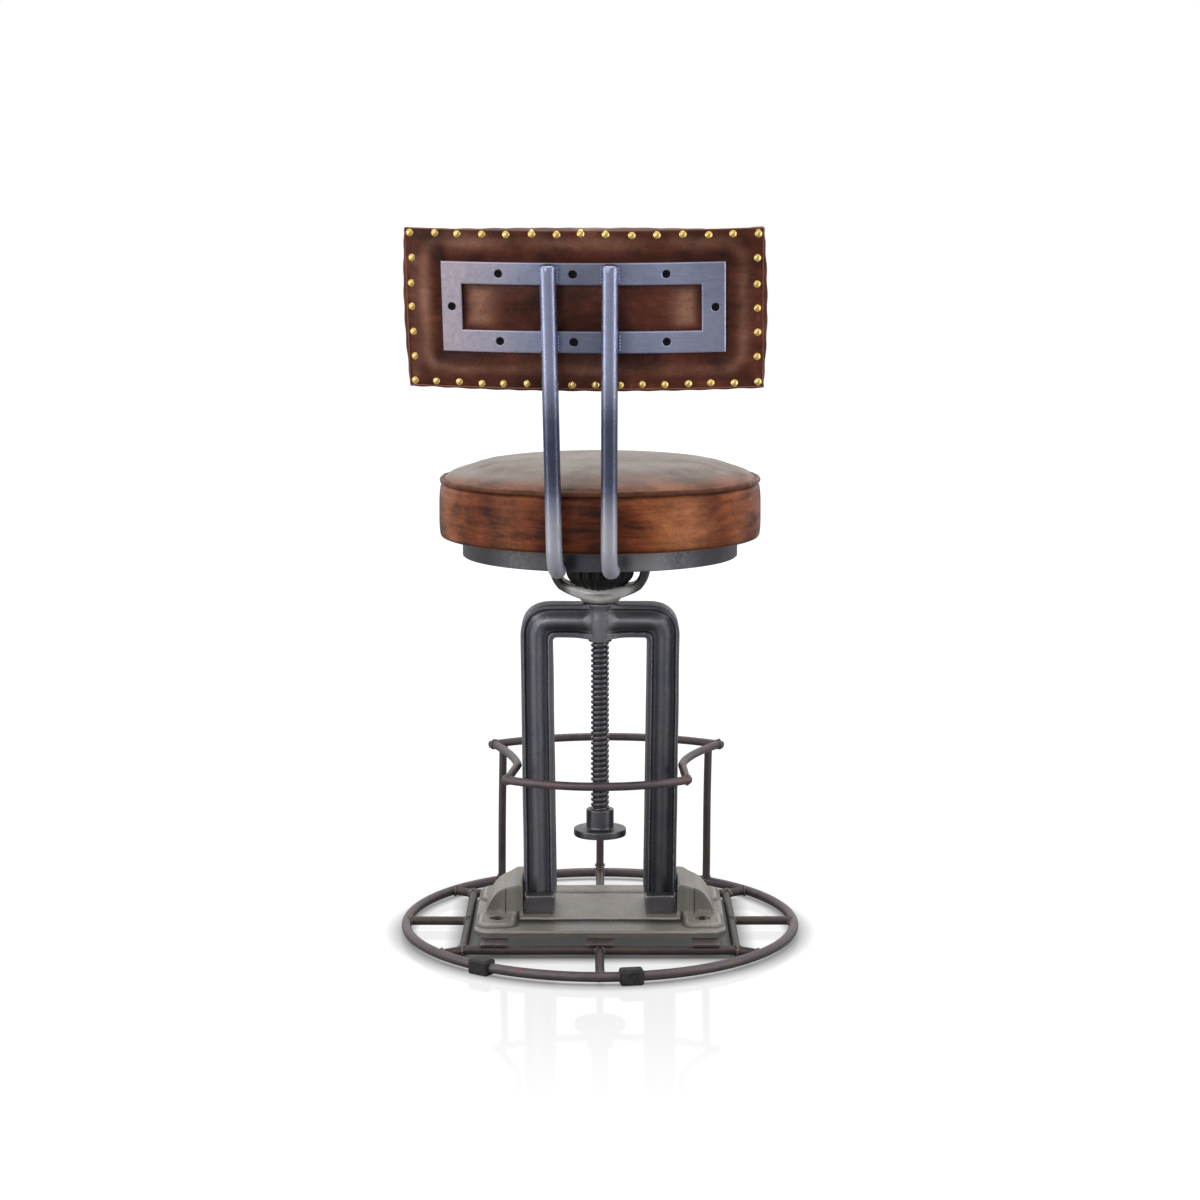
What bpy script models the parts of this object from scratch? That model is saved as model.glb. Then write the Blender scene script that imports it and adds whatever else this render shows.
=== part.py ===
"""Screw-lift swivel chair: a padded round seat and a padded back on a cast clamp stand.

Metres, +Z up. The chair faces +Y, so its left is -X. The origin is on the floor, under the middle
of the space that the chair takes up; the lifting screw stands AXIS_Y in front of it.
"""
from math import asin, atan2, cos, pi, radians, sin, sqrt, tan

import bmesh
import bpy
from mathutils import Matrix, Vector

# General
GAP = 0.0003                    # clearance between pieces that touch
AXIS_Y = 0.013                  # lifting screw, in front of the middle of the footprint
SEAT_TURN = radians(-5.1)       # how far the seat is turned at rest, seen from above

# Floor hoop, the rods inside it and the clip-on glides
RING_RADIUS = 0.2239            # to the middle of the rod
RING_ROD = 0.011
BASE_ROD = 0.010                # rails and spokes
RAIL_INSET = 0.0290             # corner of the rails inside the hoop
RAIL_CORNER_ANGLE = radians(38.75)  # of that corner, from the X axis
RAIL_X = (RING_RADIUS - RAIL_INSET) * cos(RAIL_CORNER_ANGLE)  # side rails, from the screw axis
RAIL_Y = (RING_RADIUS - RAIL_INSET) * sin(RAIL_CORNER_ANGLE)  # front and rear rails
CORNER_SPOKE_ANGLE = radians(37.7)  # where a corner spoke meets the hoop, from the X axis
GLIDE_WALL = 0.003
GLIDE_LENGTH = 0.026
GLIDE_SLIT = 0.004
GLIDE_ANGLES = {                # seen from above, from the +X axis
    "left": radians(-125.2),
    "right": radians(-81.3),
    "front_left": radians(108.0),
    "front_right": radians(72.0),
}

# Cast tie plate and the tabs that carry it on the rails
TAB_WIDTH = 0.030
TAB_THICK = 0.003
TAB_SPACING = 0.118
TAB_UNDER_PLATE = 0.013
PLATE_X = 0.284
PLATE_Y = 0.206
PLATE_THICK = 0.0076
PLATE_CORNER = 0.020
PLATFORM_X = 0.184
PLATFORM_Y = 0.108
PLATFORM_RISE = 0.002
SHOULDER_LENGTH = 0.066         # along Y
SHOULDER_RISE = 0.036           # above the platform
SHOULDER_CREST = 0.009          # width of the flat top
SHOULDER_RUN = 0.034            # width of the rounded slope
SHOULDER_BASE = 0.004           # height of the slope's foot above the platform
EAR_X = 0.042
EAR_Y = 0.058
EAR_RISE = 0.003
EAR_CORNER = 0.012
BOLT_X = 0.1166
BOLT_Y = 0.057
BOLT_HOLE = 0.0166

# Cast clamp frame: two legs, a top bar and a bored boss
FOOT_X = 0.0335
FOOT_Y = 0.072
FOOT_HEIGHT = 0.0207
FOOT_EDGE = 0.002
LEG_SPREAD_FOOT = 0.06875       # middle of a leg from the axis, at its foot
LEG_SPREAD_TOP = 0.0722
LEG_WIDTH = 0.037
FRAME_DEPTH = 0.039
FRAME_RISE = 0.3147             # leg's foot to the middle of the top bar
FRAME_BEND = 0.019              # bend at the top corners, to the middle of the section
OUTER_FLANGE = 0.006
INNER_FLANGE = 0.0075
GROOVE_DEPTH = 0.0075
RIB_WIDTH = 0.0135
RIB_DROP = 0.0012               # crown of the rib below the flanges
BOSS_PROUD = 0.0003             # boss above the top of the bar
BOSS_DROP = 0.0070              # boss below the underside of the bar
BOSS_RADIUS = 0.0165
BOSS_NECK = 0.0140
BOSS_MOUTH = 0.0126
SCOOP_RADIUS = 0.025            # hollow on each side of the boss
SCOOP_LEFT = 0.0115             # half thickness left at the hollow

# Lifting screw and its swivel pad
SCREW_CREST = 0.0105
SCREW_ROOT = 0.0085
SCREW_PITCH = 0.006
SCREW_SIDES = 10
SCREW_PLAY = 0.0004
LIFT = 0.186                    # travel of the seat
LIFT_SPARE = 0.009              # room left above the pad at full travel
PAD_HUB = 0.0315
PAD_HUB_HEIGHT = 0.023
PAD_FLANGE = 0.0604
PAD_FLANGE_HEIGHT = 0.008
PAD_CHAMFER = 0.0025
PAD_FLOOR = 0.012               # metal below the screw's end

# Footrest
FOOTREST_ROD = 0.0095
FOOTREST_HEIGHT = 0.190         # middle of the rods above the floor
FRONT_BOW_HALF = 0.1355         # from its middle to where the side bars join
FRONT_BOW_Y = 0.135             # at the ends
FRONT_BOW_RISE = 0.0455
FRONT_BOW_OFFSET = 0.008        # the front bow sits a little to the right
REAR_BOW_HALF = 0.1010
REAR_BOW_Y = -0.0655
REAR_BOW_RISE = -0.036
REAR_BOW_OFFSET = -0.0035
BOW_OVERHANG = 0.004            # the bows run past the side bars
WAIST_Y = 0.0155                # where the side bars are drawn in to the legs
WAIST_PULL_Y = 0.0715           # shapes the side bars' curve
WAIST_PULL_X = 0.0055
POST_ROD = 0.0092
POST_FOOT_X = {"left": -0.1208, "middle": 0.0, "right": 0.1302}
POST_HEAD_X = {"left": -0.1170, "middle": 0.0, "right": 0.1307}

# Yoke, hub and seat pan
YOKE_FLOOR = 0.0144
YOKE_HEIGHT = 0.0754
YOKE_HALF = 0.0572
YOKE_WALL = 0.0107
YOKE_DEPTH = 0.030
YOKE_BEND_OUT = 0.028
YOKE_BEND_IN = 0.018
YOKE_NECK = 0.0243              # radius of the boss where it rests on the clamp frame
YOKE_COLLAR = 0.0252
HUB_FOOT = 0.018
HUB_RIM = 0.0385
HUB_RIM_HEIGHT = 0.022
HUB_RIBS = 18
HUB_RIB_DEPTH = 0.0030
PAN_THICK = 0.0045
HOOP_RADIUS = 0.1556            # outside of the seat's steel hoop
HOOP_WALL = 0.005
HOOP_HEIGHT = 0.0246

# Seat
BOARD_THICK = 0.012
SEAT_BOARD_RADIUS = 0.166
CUSHION_RADIUS = 0.1822         # at the fullest part of the side
CUSHION_HEM = 0.1785            # at the lower edge
CUSHION_SEAM = 0.1768           # at the top seam
CUSHION_SIDE = 0.0645           # lower edge to top seam
CUSHION_CROWN = 0.0250          # top seam to the middle of the top
CROWN_STEPS = 6

# Back
UPRIGHT_ROD = 0.0175
UPRIGHT_HALF_FOOT = 0.0290      # half the spacing, at the seat
UPRIGHT_HALF_TOP = 0.0321       # half the spacing, at the top
UPRIGHT_FOOT_SHIFT = -0.0027    # both feet sit a little to the left
UPRIGHT_LEAN = radians(10.0)
UPRIGHT_BEND = 0.0375
UPRIGHT_STUB = 0.002            # straight run outside the hoop
UPRIGHT_WELD_RISE = 0.0068      # middle of the rod above the hoop's lower edge
BACK_RISE = 0.2549              # middle of the back above the seat board
BACK_SHIFT = 0.002              # the back sits a little to the right of its uprights
BACK_CURVE = 1.0                # radius in plan, at the frame's rear face
BACK_WIDTH = 0.382
BACK_HEIGHT = 0.172
FRAME_WIDTH = 0.2964
FRAME_HEIGHT = 0.0945
FRAME_BAR = 0.0230
WINDOW_SHIFT = -0.0016          # the opening in the frame, sideways
FRAME_THICK = 0.0055
FRAME_UP = 0.0035               # middle of the frame above the middle of the pad
COVER_THICK = 0.0035
BACK_BOARD_THICK = 0.009
BACK_BOARD_MARGIN = 0.012       # the cushion wraps this far round the board
PAD_END = 0.016                 # cushion thickness at its left and right ends
PAD_MIDDLE = 0.034              # and at the middle of its upper and lower edges
PAD_CROWN = 0.008               # fullness of the front face over its edges
PAD_ROUND = 0.009               # how far the front edge is rounded in
PAD_DRAW = 0.003                # how far the sides are drawn in between the corners
SCREW_HEAD = 0.0080
SCREW_HEAD_HEIGHT = 0.0035
SCREW_HEAD_SUNK = 0.0010
SCREW_SHANK = 0.0042
SCREW_LENGTH = 0.0150
SCREW_INSET_Y = 0.01175         # screws in from the frame's upper and lower edges
SCREW_INSET_X = 0.0106          # side screws in from the frame's ends
SCREW_ROW = FRAME_HEIGHT / 2 - SCREW_INSET_Y  # rows above and below the middle
SCREW_SIDE = FRAME_WIDTH / 2 - SCREW_INSET_X  # side screws from the middle
SCREW_COLUMN = 0.087
SCREW_MIDDLE = -0.0095

# Heights that follow from the sizes above, from the floor up
RING_Z = GLIDE_WALL + GAP + RING_ROD / 2
TAB_Z = RING_Z + BASE_ROD / 2 + GAP
PLATE_Z = TAB_Z + TAB_THICK + GAP
PLATE_TOP = PLATE_Z + PLATE_THICK
PLATFORM_TOP = PLATE_TOP + PLATFORM_RISE
FOOT_Z = PLATFORM_TOP + GAP
LEG_Z = FOOT_Z + FOOT_HEIGHT + GAP
BAR_Z = LEG_Z + FRAME_RISE
BOSS_TOP = BAR_Z + LEG_WIDTH / 2 + BOSS_PROUD
BOSS_BOTTOM = BAR_Z - LEG_WIDTH / 2 - BOSS_DROP
PAD_TOP = BOSS_BOTTOM - LIFT - LIFT_SPARE
YOKE_Z = BOSS_TOP + GAP
YOKE_FLOOR_Z = YOKE_Z + YOKE_FLOOR
YOKE_TOP = YOKE_Z + YOKE_HEIGHT
PAN_Z = YOKE_TOP + GAP
HOOP_TOP = PAN_Z + PAN_THICK
HOOP_Z = HOOP_TOP - HOOP_HEIGHT
BOARD_Z = HOOP_TOP + GAP
CUSHION_Z = BOARD_Z
SEAM_Z = CUSHION_Z + CUSHION_SIDE
UPRIGHT_Z = HOOP_Z + UPRIGHT_WELD_RISE
BACK_Z = BOARD_Z + BACK_RISE

# Depths through the back, counted forward from the frame's rear face
COVER_N = FRAME_THICK + GAP
BOARD_N = COVER_N + COVER_THICK + GAP
CUSHION_N = BOARD_N

LOOKS = {
    # name: colour, roughness, metallic
    "rod_steel": ((0.10, 0.085, 0.075), 0.50, 0.9),
    "plate_iron": ((0.23, 0.20, 0.17), 0.60, 0.8),
    "cast_iron": ((0.11, 0.11, 0.12), 0.45, 0.9),
    "black_iron": ((0.03, 0.03, 0.03), 0.60, 0.6),
    "brushed_steel": ((0.34, 0.36, 0.42), 0.35, 1.0),
    "glide_plastic": ((0.02, 0.02, 0.02), 0.55, 0.0),
    "plywood": ((0.55, 0.40, 0.24), 0.75, 0.0),
    "seat_leather": ((0.26, 0.09, 0.04), 0.45, 0.0),
    "back_leather": ((0.12, 0.05, 0.03), 0.45, 0.0),
    "dark_screw": ((0.03, 0.03, 0.035), 0.40, 1.0),
}


def clear_scene():
    for thing in list(bpy.data.objects):
        bpy.data.objects.remove(thing)


def new_collection(name):
    collection = bpy.data.collections.new(name)
    bpy.context.scene.collection.children.link(collection)
    return collection


def new_material(name):
    colour, roughness, metallic = LOOKS[name]
    material = bpy.data.materials.new(name)
    material.use_nodes = True
    shader = material.node_tree.nodes["Principled BSDF"]
    shader.inputs["Base Color"].default_value = (*colour, 1)
    shader.inputs["Roughness"].default_value = roughness
    shader.inputs["Metallic"].default_value = metallic
    return material


def new_empty(name, parent=None, location=(0, 0, 0), rotation=(0, 0, 0)):
    empty = bpy.data.objects.new(name, None)
    empty.location = location
    empty.rotation_euler = rotation
    empty.parent = parent
    PARTS.objects.link(empty)
    return empty


def part(name, mesh, parent, look, matrix=None):
    """One piece of the chair, in its parent's frame."""
    piece = bpy.data.objects.new(name, mesh)
    piece.parent = parent
    if matrix is not None:
        piece.matrix_local = matrix
    if not mesh.materials:
        mesh.materials.append(MATERIALS[look])
    mesh.shade_smooth()
    mesh.set_sharp_from_angle(angle=radians(35))
    PARTS.objects.link(piece)
    return piece


def tool(name, mesh, parent, matrix=None):
    """A shape that only cuts or adds to another piece."""
    shape = bpy.data.objects.new(name, mesh)
    shape.parent = parent
    if matrix is not None:
        shape.matrix_local = matrix
    shape.hide_render = True
    shape.display_type = "WIRE"
    CUTTERS.objects.link(shape)
    return shape


def combine(piece, operation, *shapes):
    for shape in shapes:
        modifier = piece.modifiers.new(shape.name, "BOOLEAN")
        modifier.operation = operation
        modifier.solver = "EXACT"
        modifier.object = shape


def cut(piece, *shapes):
    combine(piece, "DIFFERENCE", *shapes)


def unite(piece, *shapes):
    combine(piece, "UNION", *shapes)


def weld(mesh):
    work = bmesh.new()
    work.from_mesh(mesh)
    bmesh.ops.remove_doubles(work, verts=work.verts, dist=0.00001)
    bmesh.ops.recalc_face_normals(work, faces=work.faces)
    work.to_mesh(mesh)
    work.free()


def mesh_of(curve):
    """The welded mesh of a curve."""
    holder = bpy.data.objects.new(curve.name, curve)
    bpy.context.scene.collection.objects.link(holder)
    evaluated = holder.evaluated_get(bpy.context.evaluated_depsgraph_get())
    mesh = bpy.data.meshes.new_from_object(evaluated)
    bpy.data.objects.remove(holder)
    weld(mesh)
    return mesh


def fill_spline(curve, points, closed=False):
    spline = curve.splines.new("POLY")
    spline.points.add(len(points) - 1)
    for knot, place in zip(spline.points, points):
        knot.co = (*Vector(place).to_3d(), 1)
    spline.use_cyclic_u = closed


def rod_mesh(points, diameter, roundness=2):
    curve = bpy.data.curves.new("rod", "CURVE")
    curve.dimensions = "3D"
    curve.bevel_depth = diameter / 2
    curve.bevel_resolution = roundness
    curve.use_fill_caps = True
    fill_spline(curve, points)
    return mesh_of(curve)


def slab_mesh(outline, thickness):
    """A flat outline in plan, from z = 0 up to its thickness."""
    curve = bpy.data.curves.new("slab", "CURVE")
    curve.dimensions = "2D"
    curve.fill_mode = "BOTH"
    curve.extrude = thickness / 2
    fill_spline(curve, outline, closed=True)
    mesh = mesh_of(curve)
    mesh.transform(Matrix.Translation((0, 0, thickness / 2)))
    return mesh


def turned(piece, profile_steps):
    """Turns an object's profile about its Z axis."""
    modifier = piece.modifiers.new("turned", "SCREW")
    modifier.axis = "Z"
    modifier.steps = profile_steps
    modifier.render_steps = profile_steps
    modifier.use_merge_vertices = True
    modifier.merge_threshold = 0.00001
    return piece


def profile_mesh(name, points):
    """A profile of (radius, height) points, ready to be turned."""
    mesh = bpy.data.meshes.new(name)
    edges = [(i, i + 1) for i in range(len(points) - 1)]
    mesh.from_pydata([(radius, 0, height) for radius, height in points], edges, [])
    return mesh


def cylinder_mesh(diameter, length, sides, upper_diameter=None):
    """A cylinder or cone from z = 0 up to its length."""
    work = bmesh.new()
    upper = diameter if upper_diameter is None else upper_diameter
    bmesh.ops.create_cone(work, cap_ends=True, segments=sides, radius1=diameter / 2,
                          radius2=upper / 2, depth=length)
    bmesh.ops.translate(work, verts=work.verts, vec=(0, 0, length / 2))
    return finished(work, "cylinder")


def box_mesh(size):
    """A box that stands on z = 0, centred in plan."""
    work = bmesh.new()
    bmesh.ops.create_cube(work, size=1)
    bmesh.ops.scale(work, verts=work.verts, vec=size)
    bmesh.ops.translate(work, verts=work.verts, vec=(0, 0, size[2] / 2))
    return finished(work, "box")


def block_mesh(counts, place):
    """A cube divided into counts cells along x, y and z, each corner moved to place(x, y, z)."""
    work = bmesh.new()
    bmesh.ops.create_cube(work, size=1)
    for axis, count in enumerate(counts):
        if count > 1:
            along = [e for e in work.edges if abs(e.verts[0].co[axis] - e.verts[1].co[axis]) > 0.5]
            bmesh.ops.subdivide_edges(work, edges=along, cuts=count - 1, use_grid_fill=True)
    for vert in work.verts:
        vert.co = place(vert.co.x + 0.5, vert.co.y + 0.5, vert.co.z + 0.5)
    return finished(work, "block")


def finished(work, name):
    mesh = bpy.data.meshes.new(name)
    work.to_mesh(mesh)
    work.free()
    return mesh


def bevelled(piece, width):
    modifier = piece.modifiers.new("edges", "BEVEL")
    modifier.width = width
    modifier.segments = 2
    modifier.limit_method = "ANGLE"
    return piece


def at(x=0.0, y=0.0, z=0.0):
    return Matrix.Translation((x, y, z))


def arc(centre, radius, start, end, steps):
    """Points on an arc, its ends included."""
    angles = [start + (end - start) * i / steps for i in range(steps + 1)]
    return [(centre[0] + radius * cos(a), centre[1] + radius * sin(a)) for a in angles]


def rounded_rectangle(width, depth, radius, steps=4):
    x = width / 2 - radius
    y = depth / 2 - radius
    corners = [((x, y), 0), ((-x, y), pi / 2), ((-x, -y), pi), ((x, -y), 1.5 * pi)]
    return [p for centre, start in corners for p in arc(centre, radius, start, start + pi / 2, steps)]


def on_ring(angle):
    return (RING_RADIUS * cos(angle), RING_RADIUS * sin(angle), RING_Z)


def ring_mesh(diameter):
    bpy.ops.mesh.primitive_torus_add(major_radius=RING_RADIUS, minor_radius=diameter / 2,
                                     major_segments=56, minor_segments=8)
    holder = bpy.context.object
    mesh = holder.data
    bpy.data.objects.remove(holder)
    mesh.transform(at(z=RING_Z))
    return mesh


def make_base():
    """The floor hoop, its rails and spokes; returns the cutters that other rods are fitted to."""
    fit = 2 * GAP
    part("base_ring", ring_mesh(RING_ROD), STAND, "rod_steel")
    ring_cutter = tool("ring_fit", ring_mesh(RING_ROD + fit), STAND)

    cross = RAIL_X + BASE_ROD / 2
    rail_cutters = {}
    for name, y in (("front", RAIL_Y), ("rear", -RAIL_Y)):
        ends = [(-cross, y, RING_Z), (cross, y, RING_Z)]
        part(f"rail_{name}", rod_mesh(ends, BASE_ROD), STAND, "rod_steel")
        longer = [(-cross - GAP, y, RING_Z), (cross + GAP, y, RING_Z)]
        rail_cutters[name] = tool(f"rail_{name}_fit", rod_mesh(longer, BASE_ROD + fit), STAND)
    for name, x in (("left", -RAIL_X), ("right", RAIL_X)):
        ends = [(x, -RAIL_Y, RING_Z), (x, RAIL_Y, RING_Z)]
        rail = part(f"rail_{name}", rod_mesh(ends, BASE_ROD), STAND, "rod_steel")
        cut(rail, rail_cutters["front"], rail_cutters["rear"])
        rail_cutters[name] = tool(f"rail_{name}_fit", rod_mesh(ends, BASE_ROD + fit), STAND)

    middles = {"front": (0, RAIL_Y), "rear": (0, -RAIL_Y), "left": (-RAIL_X, 0), "right": (RAIL_X, 0)}
    ring_angles = {"front": pi / 2, "rear": -pi / 2, "left": pi, "right": 0}
    for name, (x, y) in middles.items():
        path = [(x, y, RING_Z), on_ring(ring_angles[name])]
        spoke = part(f"spoke_{name}", rod_mesh(path, BASE_ROD), STAND, "rod_steel")
        cut(spoke, ring_cutter, rail_cutters[name])
    corner_angles = {
        ("front", "right"): CORNER_SPOKE_ANGLE,
        ("front", "left"): pi - CORNER_SPOKE_ANGLE,
        ("rear", "left"): pi + CORNER_SPOKE_ANGLE,
        ("rear", "right"): -CORNER_SPOKE_ANGLE,
    }
    for (end, side), angle in corner_angles.items():
        corner = (middles[side][0], middles[end][1], RING_Z)
        mesh = rod_mesh([corner, on_ring(angle)], BASE_ROD)
        spoke = part(f"spoke_{end}_{side}", mesh, STAND, "rod_steel")
        cut(spoke, ring_cutter, rail_cutters[end], rail_cutters[side])
    return ring_cutter


def make_glides(ring_cutter):
    """Plastic clips on the floor hoop; their flat undersides are what the chair stands on."""
    width = RING_ROD + 2 * (GLIDE_WALL + GAP)
    for name, angle in GLIDE_ANGLES.items():
        middle = on_ring(angle)
        place = at(middle[0], middle[1]) @ Matrix.Rotation(angle, 4, "Z")
        glide = part(f"glide_{name}", box_mesh((width, GLIDE_LENGTH, width)), STAND, "glide_plastic", place)
        bevelled(glide, GLIDE_WALL)
        slit = box_mesh((width, 2 * GLIDE_LENGTH, GLIDE_SLIT))
        slit_place = place @ at(-width / 2, 0, RING_Z - GLIDE_SLIT / 2)
        cut(glide, ring_cutter, tool(f"glide_{name}_slit", slit, STAND, slit_place))


def make_tabs():
    length = RAIL_Y + BASE_ROD / 2 - (PLATE_Y / 2 - TAB_UNDER_PLATE)
    middle = RAIL_Y + BASE_ROD / 2 - length / 2
    for end, y in (("front", middle), ("rear", -middle)):
        for side, x in (("left", -TAB_SPACING), ("middle", 0), ("right", TAB_SPACING)):
            mesh = box_mesh((TAB_WIDTH, length, TAB_THICK))
            part(f"plate_tab_{end}_{side}", mesh, STAND, "rod_steel", at(x, y, TAB_Z))


def make_tie_plate():
    """The cast plate: a slab with a raised seat, two shoulders and four bolt ears."""
    outline = rounded_rectangle(PLATE_X, PLATE_Y, PLATE_CORNER)
    plate = part("tie_plate", slab_mesh(outline, PLATE_THICK), STAND, "plate_iron", at(z=PLATE_Z))
    root = PLATE_Z + PLATE_THICK / 2
    platform = box_mesh((PLATFORM_X, PLATFORM_Y, PLATFORM_TOP - root))
    unite(plate, tool("plate_platform", platform, STAND, at(z=root)))

    inner = LEG_SPREAD_FOOT + LEG_WIDTH / 2 + 4 * GAP
    crest = PLATFORM_TOP + SHOULDER_RISE
    foot = PLATFORM_TOP + SHOULDER_BASE
    slope = [(inner + SHOULDER_CREST + SHOULDER_RUN * sin(a), foot + (crest - foot) * cos(a))
             for a in [pi / 2 * i / 6 for i in range(7)]]
    profile = [(inner, root), (inner, crest), *slope, (slope[-1][0], root)]
    stand_up = Matrix.Rotation(pi / 2, 4, "X") @ at(z=-SHOULDER_LENGTH / 2)
    for side, sign in (("left", -1), ("right", 1)):
        outline = [(sign * x, z) for x, z in profile]
        shape = slab_mesh(outline, SHOULDER_LENGTH)
        unite(plate, tool(f"plate_shoulder_{side}", shape, STAND, stand_up))

    ear = rounded_rectangle(EAR_X, EAR_Y, EAR_CORNER)
    ear_height = PLATE_TOP + EAR_RISE - root
    hole_length = 2 * (PLATE_THICK + EAR_RISE)
    for end, y in (("front", BOLT_Y), ("rear", -BOLT_Y)):
        for side, x in (("left", -BOLT_X), ("right", BOLT_X)):
            unite(plate, tool(f"plate_ear_{end}_{side}", slab_mesh(ear, ear_height), STAND, at(x, y, root)))
            hole = cylinder_mesh(BOLT_HOLE, hole_length, 16)
            hole_place = at(x, y, PLATE_Z - PLATE_THICK / 2)
            cut(plate, tool(f"plate_hole_{end}_{side}", hole, STAND, hole_place))


def clamp_section():
    """Half sections of the clamp frame: (across, depth) with the outer edge first."""
    edge = LEG_WIDTH / 2
    deep = FRAME_DEPTH / 2
    floor = deep - GROOVE_DEPTH
    rib = RIB_WIDTH / 2
    middle = (INNER_FLANGE - OUTER_FLANGE) / 2
    chamfer = OUTER_FLANGE / 4
    front = [
        (edge, deep - chamfer),
        (edge - chamfer, deep),
        (edge - OUTER_FLANGE, deep),
        (edge - OUTER_FLANGE - chamfer, floor),
        (middle + rib + chamfer, floor),
        (middle + rib * 0.8, deep - 2 * RIB_DROP),
        (middle, deep - RIB_DROP),
        (middle - rib * 0.8, deep - 2 * RIB_DROP),
        (middle - rib - chamfer, floor),
        (-edge + INNER_FLANGE + chamfer, floor),
        (-edge + INNER_FLANGE, deep),
        (-edge + chamfer, deep),
        (-edge, deep - chamfer),
    ]
    return front + [(across, -depth) for across, depth in reversed(front)]


def clamp_path():
    """Up one leg, over the bar and down the other leg, in the (x, z) plane."""
    corner_x = LEG_SPREAD_TOP - FRAME_BEND
    corner_z = BAR_Z - FRAME_BEND
    right = arc((corner_x, corner_z), FRAME_BEND, 0, pi / 2, 6)
    left = arc((-corner_x, corner_z), FRAME_BEND, pi / 2, pi, 6)
    return [(LEG_SPREAD_FOOT, LEG_Z), *right, *left, (-LEG_SPREAD_FOOT, LEG_Z)]


def make_clamp_frame():
    section = bpy.data.curves.new("clamp_section", "CURVE")
    section.dimensions = "2D"
    fill_spline(section, clamp_section(), closed=True)
    section_holder = bpy.data.objects.new("clamp_section", section)
    bpy.context.scene.collection.objects.link(section_holder)
    path = bpy.data.curves.new("clamp_path", "CURVE")
    path.dimensions = "2D"
    path.bevel_mode = "OBJECT"
    path.bevel_object = section_holder
    path.use_fill_caps = True
    fill_spline(path, clamp_path())
    mesh = mesh_of(path)
    bpy.data.objects.remove(section_holder)
    mesh.transform(Matrix.Rotation(pi / 2, 4, "X"))
    frame = part("clamp_frame", mesh, STAND, "cast_iron")

    bar_height = BOSS_TOP - BOSS_BOTTOM
    scoop_y = SCOOP_LEFT + SCOOP_RADIUS
    for end, y in (("front", scoop_y), ("rear", -scoop_y)):
        scoop = cylinder_mesh(2 * SCOOP_RADIUS, 2 * bar_height, 32)
        cut(frame, tool(f"boss_hollow_{end}", scoop, STAND, at(0, y, BAR_Z - bar_height)))
    mouth_z = BAR_Z - LEG_WIDTH / 2
    boss = [
        (0, BOSS_TOP),
        (BOSS_RADIUS, BOSS_TOP),
        (BOSS_NECK, BAR_Z + (BOSS_TOP - BAR_Z) * 0.65),
        (BOSS_RADIUS, BAR_Z),
        (BOSS_RADIUS, BAR_Z - (BAR_Z - BOSS_BOTTOM) * 0.25),
        (BOSS_NECK, mouth_z),
        (BOSS_MOUTH, BOSS_BOTTOM),
        (0, BOSS_BOTTOM),
    ]
    unite(frame, turned(tool("clamp_boss", profile_mesh("clamp_boss", boss), STAND), 28))
    bore = cylinder_mesh(2 * (SCREW_CREST + SCREW_PLAY), 2 * bar_height, 28)
    cut(frame, tool("clamp_bore", bore, STAND, at(z=BAR_Z - bar_height)))
    for side, x in (("left", -LEG_SPREAD_FOOT), ("right", LEG_SPREAD_FOOT)):
        mesh = box_mesh((FOOT_X, FOOT_Y, FOOT_HEIGHT))
        bevelled(part(f"leg_foot_{side}", mesh, STAND, "cast_iron", at(x, 0, FOOT_Z)), FOOT_EDGE)


def bow(half, rise):
    """Radius and half angle of a bow of the given half chord and rise."""
    radius = (half ** 2 + rise ** 2) / (2 * abs(rise))
    return radius, asin(half / radius)


def bow_y(x, half, end_y, rise):
    """Height in plan of the bow's middle line at x from its middle."""
    radius, half_angle = bow(half, rise)
    lift = sqrt(radius ** 2 - x ** 2) - radius * cos(half_angle)
    return end_y + (lift if rise > 0 else -lift)


def bow_path(half, end_y, rise, offset=0.0, steps=14):
    reach = half + BOW_OVERHANG
    stations = [-reach + 2 * reach * i / steps for i in range(steps + 1)]
    return [(offset + x, bow_y(x, half, end_y, rise), FOOTREST_HEIGHT) for x in stations]


def leg_outside(z):
    """How far a leg's outer face is from the axis at height z."""
    share = (z - LEG_Z) / (BAR_Z - FRAME_BEND - LEG_Z)
    return LEG_SPREAD_FOOT + (LEG_SPREAD_TOP - LEG_SPREAD_FOOT) * share + LEG_WIDTH / 2


def side_bar_path(sign):
    """From the front bow, drawn in to the leg on a curve, then straight to the rear bow."""
    start = Vector((FRONT_BOW_OFFSET + sign * FRONT_BOW_HALF, FRONT_BOW_Y))
    waist = Vector((sign * (leg_outside(FOOTREST_HEIGHT) + FOOTREST_ROD / 2 + 2 * GAP), WAIST_Y))
    pull = Vector((waist.x + sign * WAIST_PULL_X, WAIST_PULL_Y))
    end = Vector((REAR_BOW_OFFSET + sign * REAR_BOW_HALF, REAR_BOW_Y))
    curve = [start * (1 - t) ** 2 + pull * 2 * t * (1 - t) + waist * t ** 2
             for t in [i / 7 for i in range(8)]]
    return [(p.x, p.y, FOOTREST_HEIGHT) for p in [*curve, end]]


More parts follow.
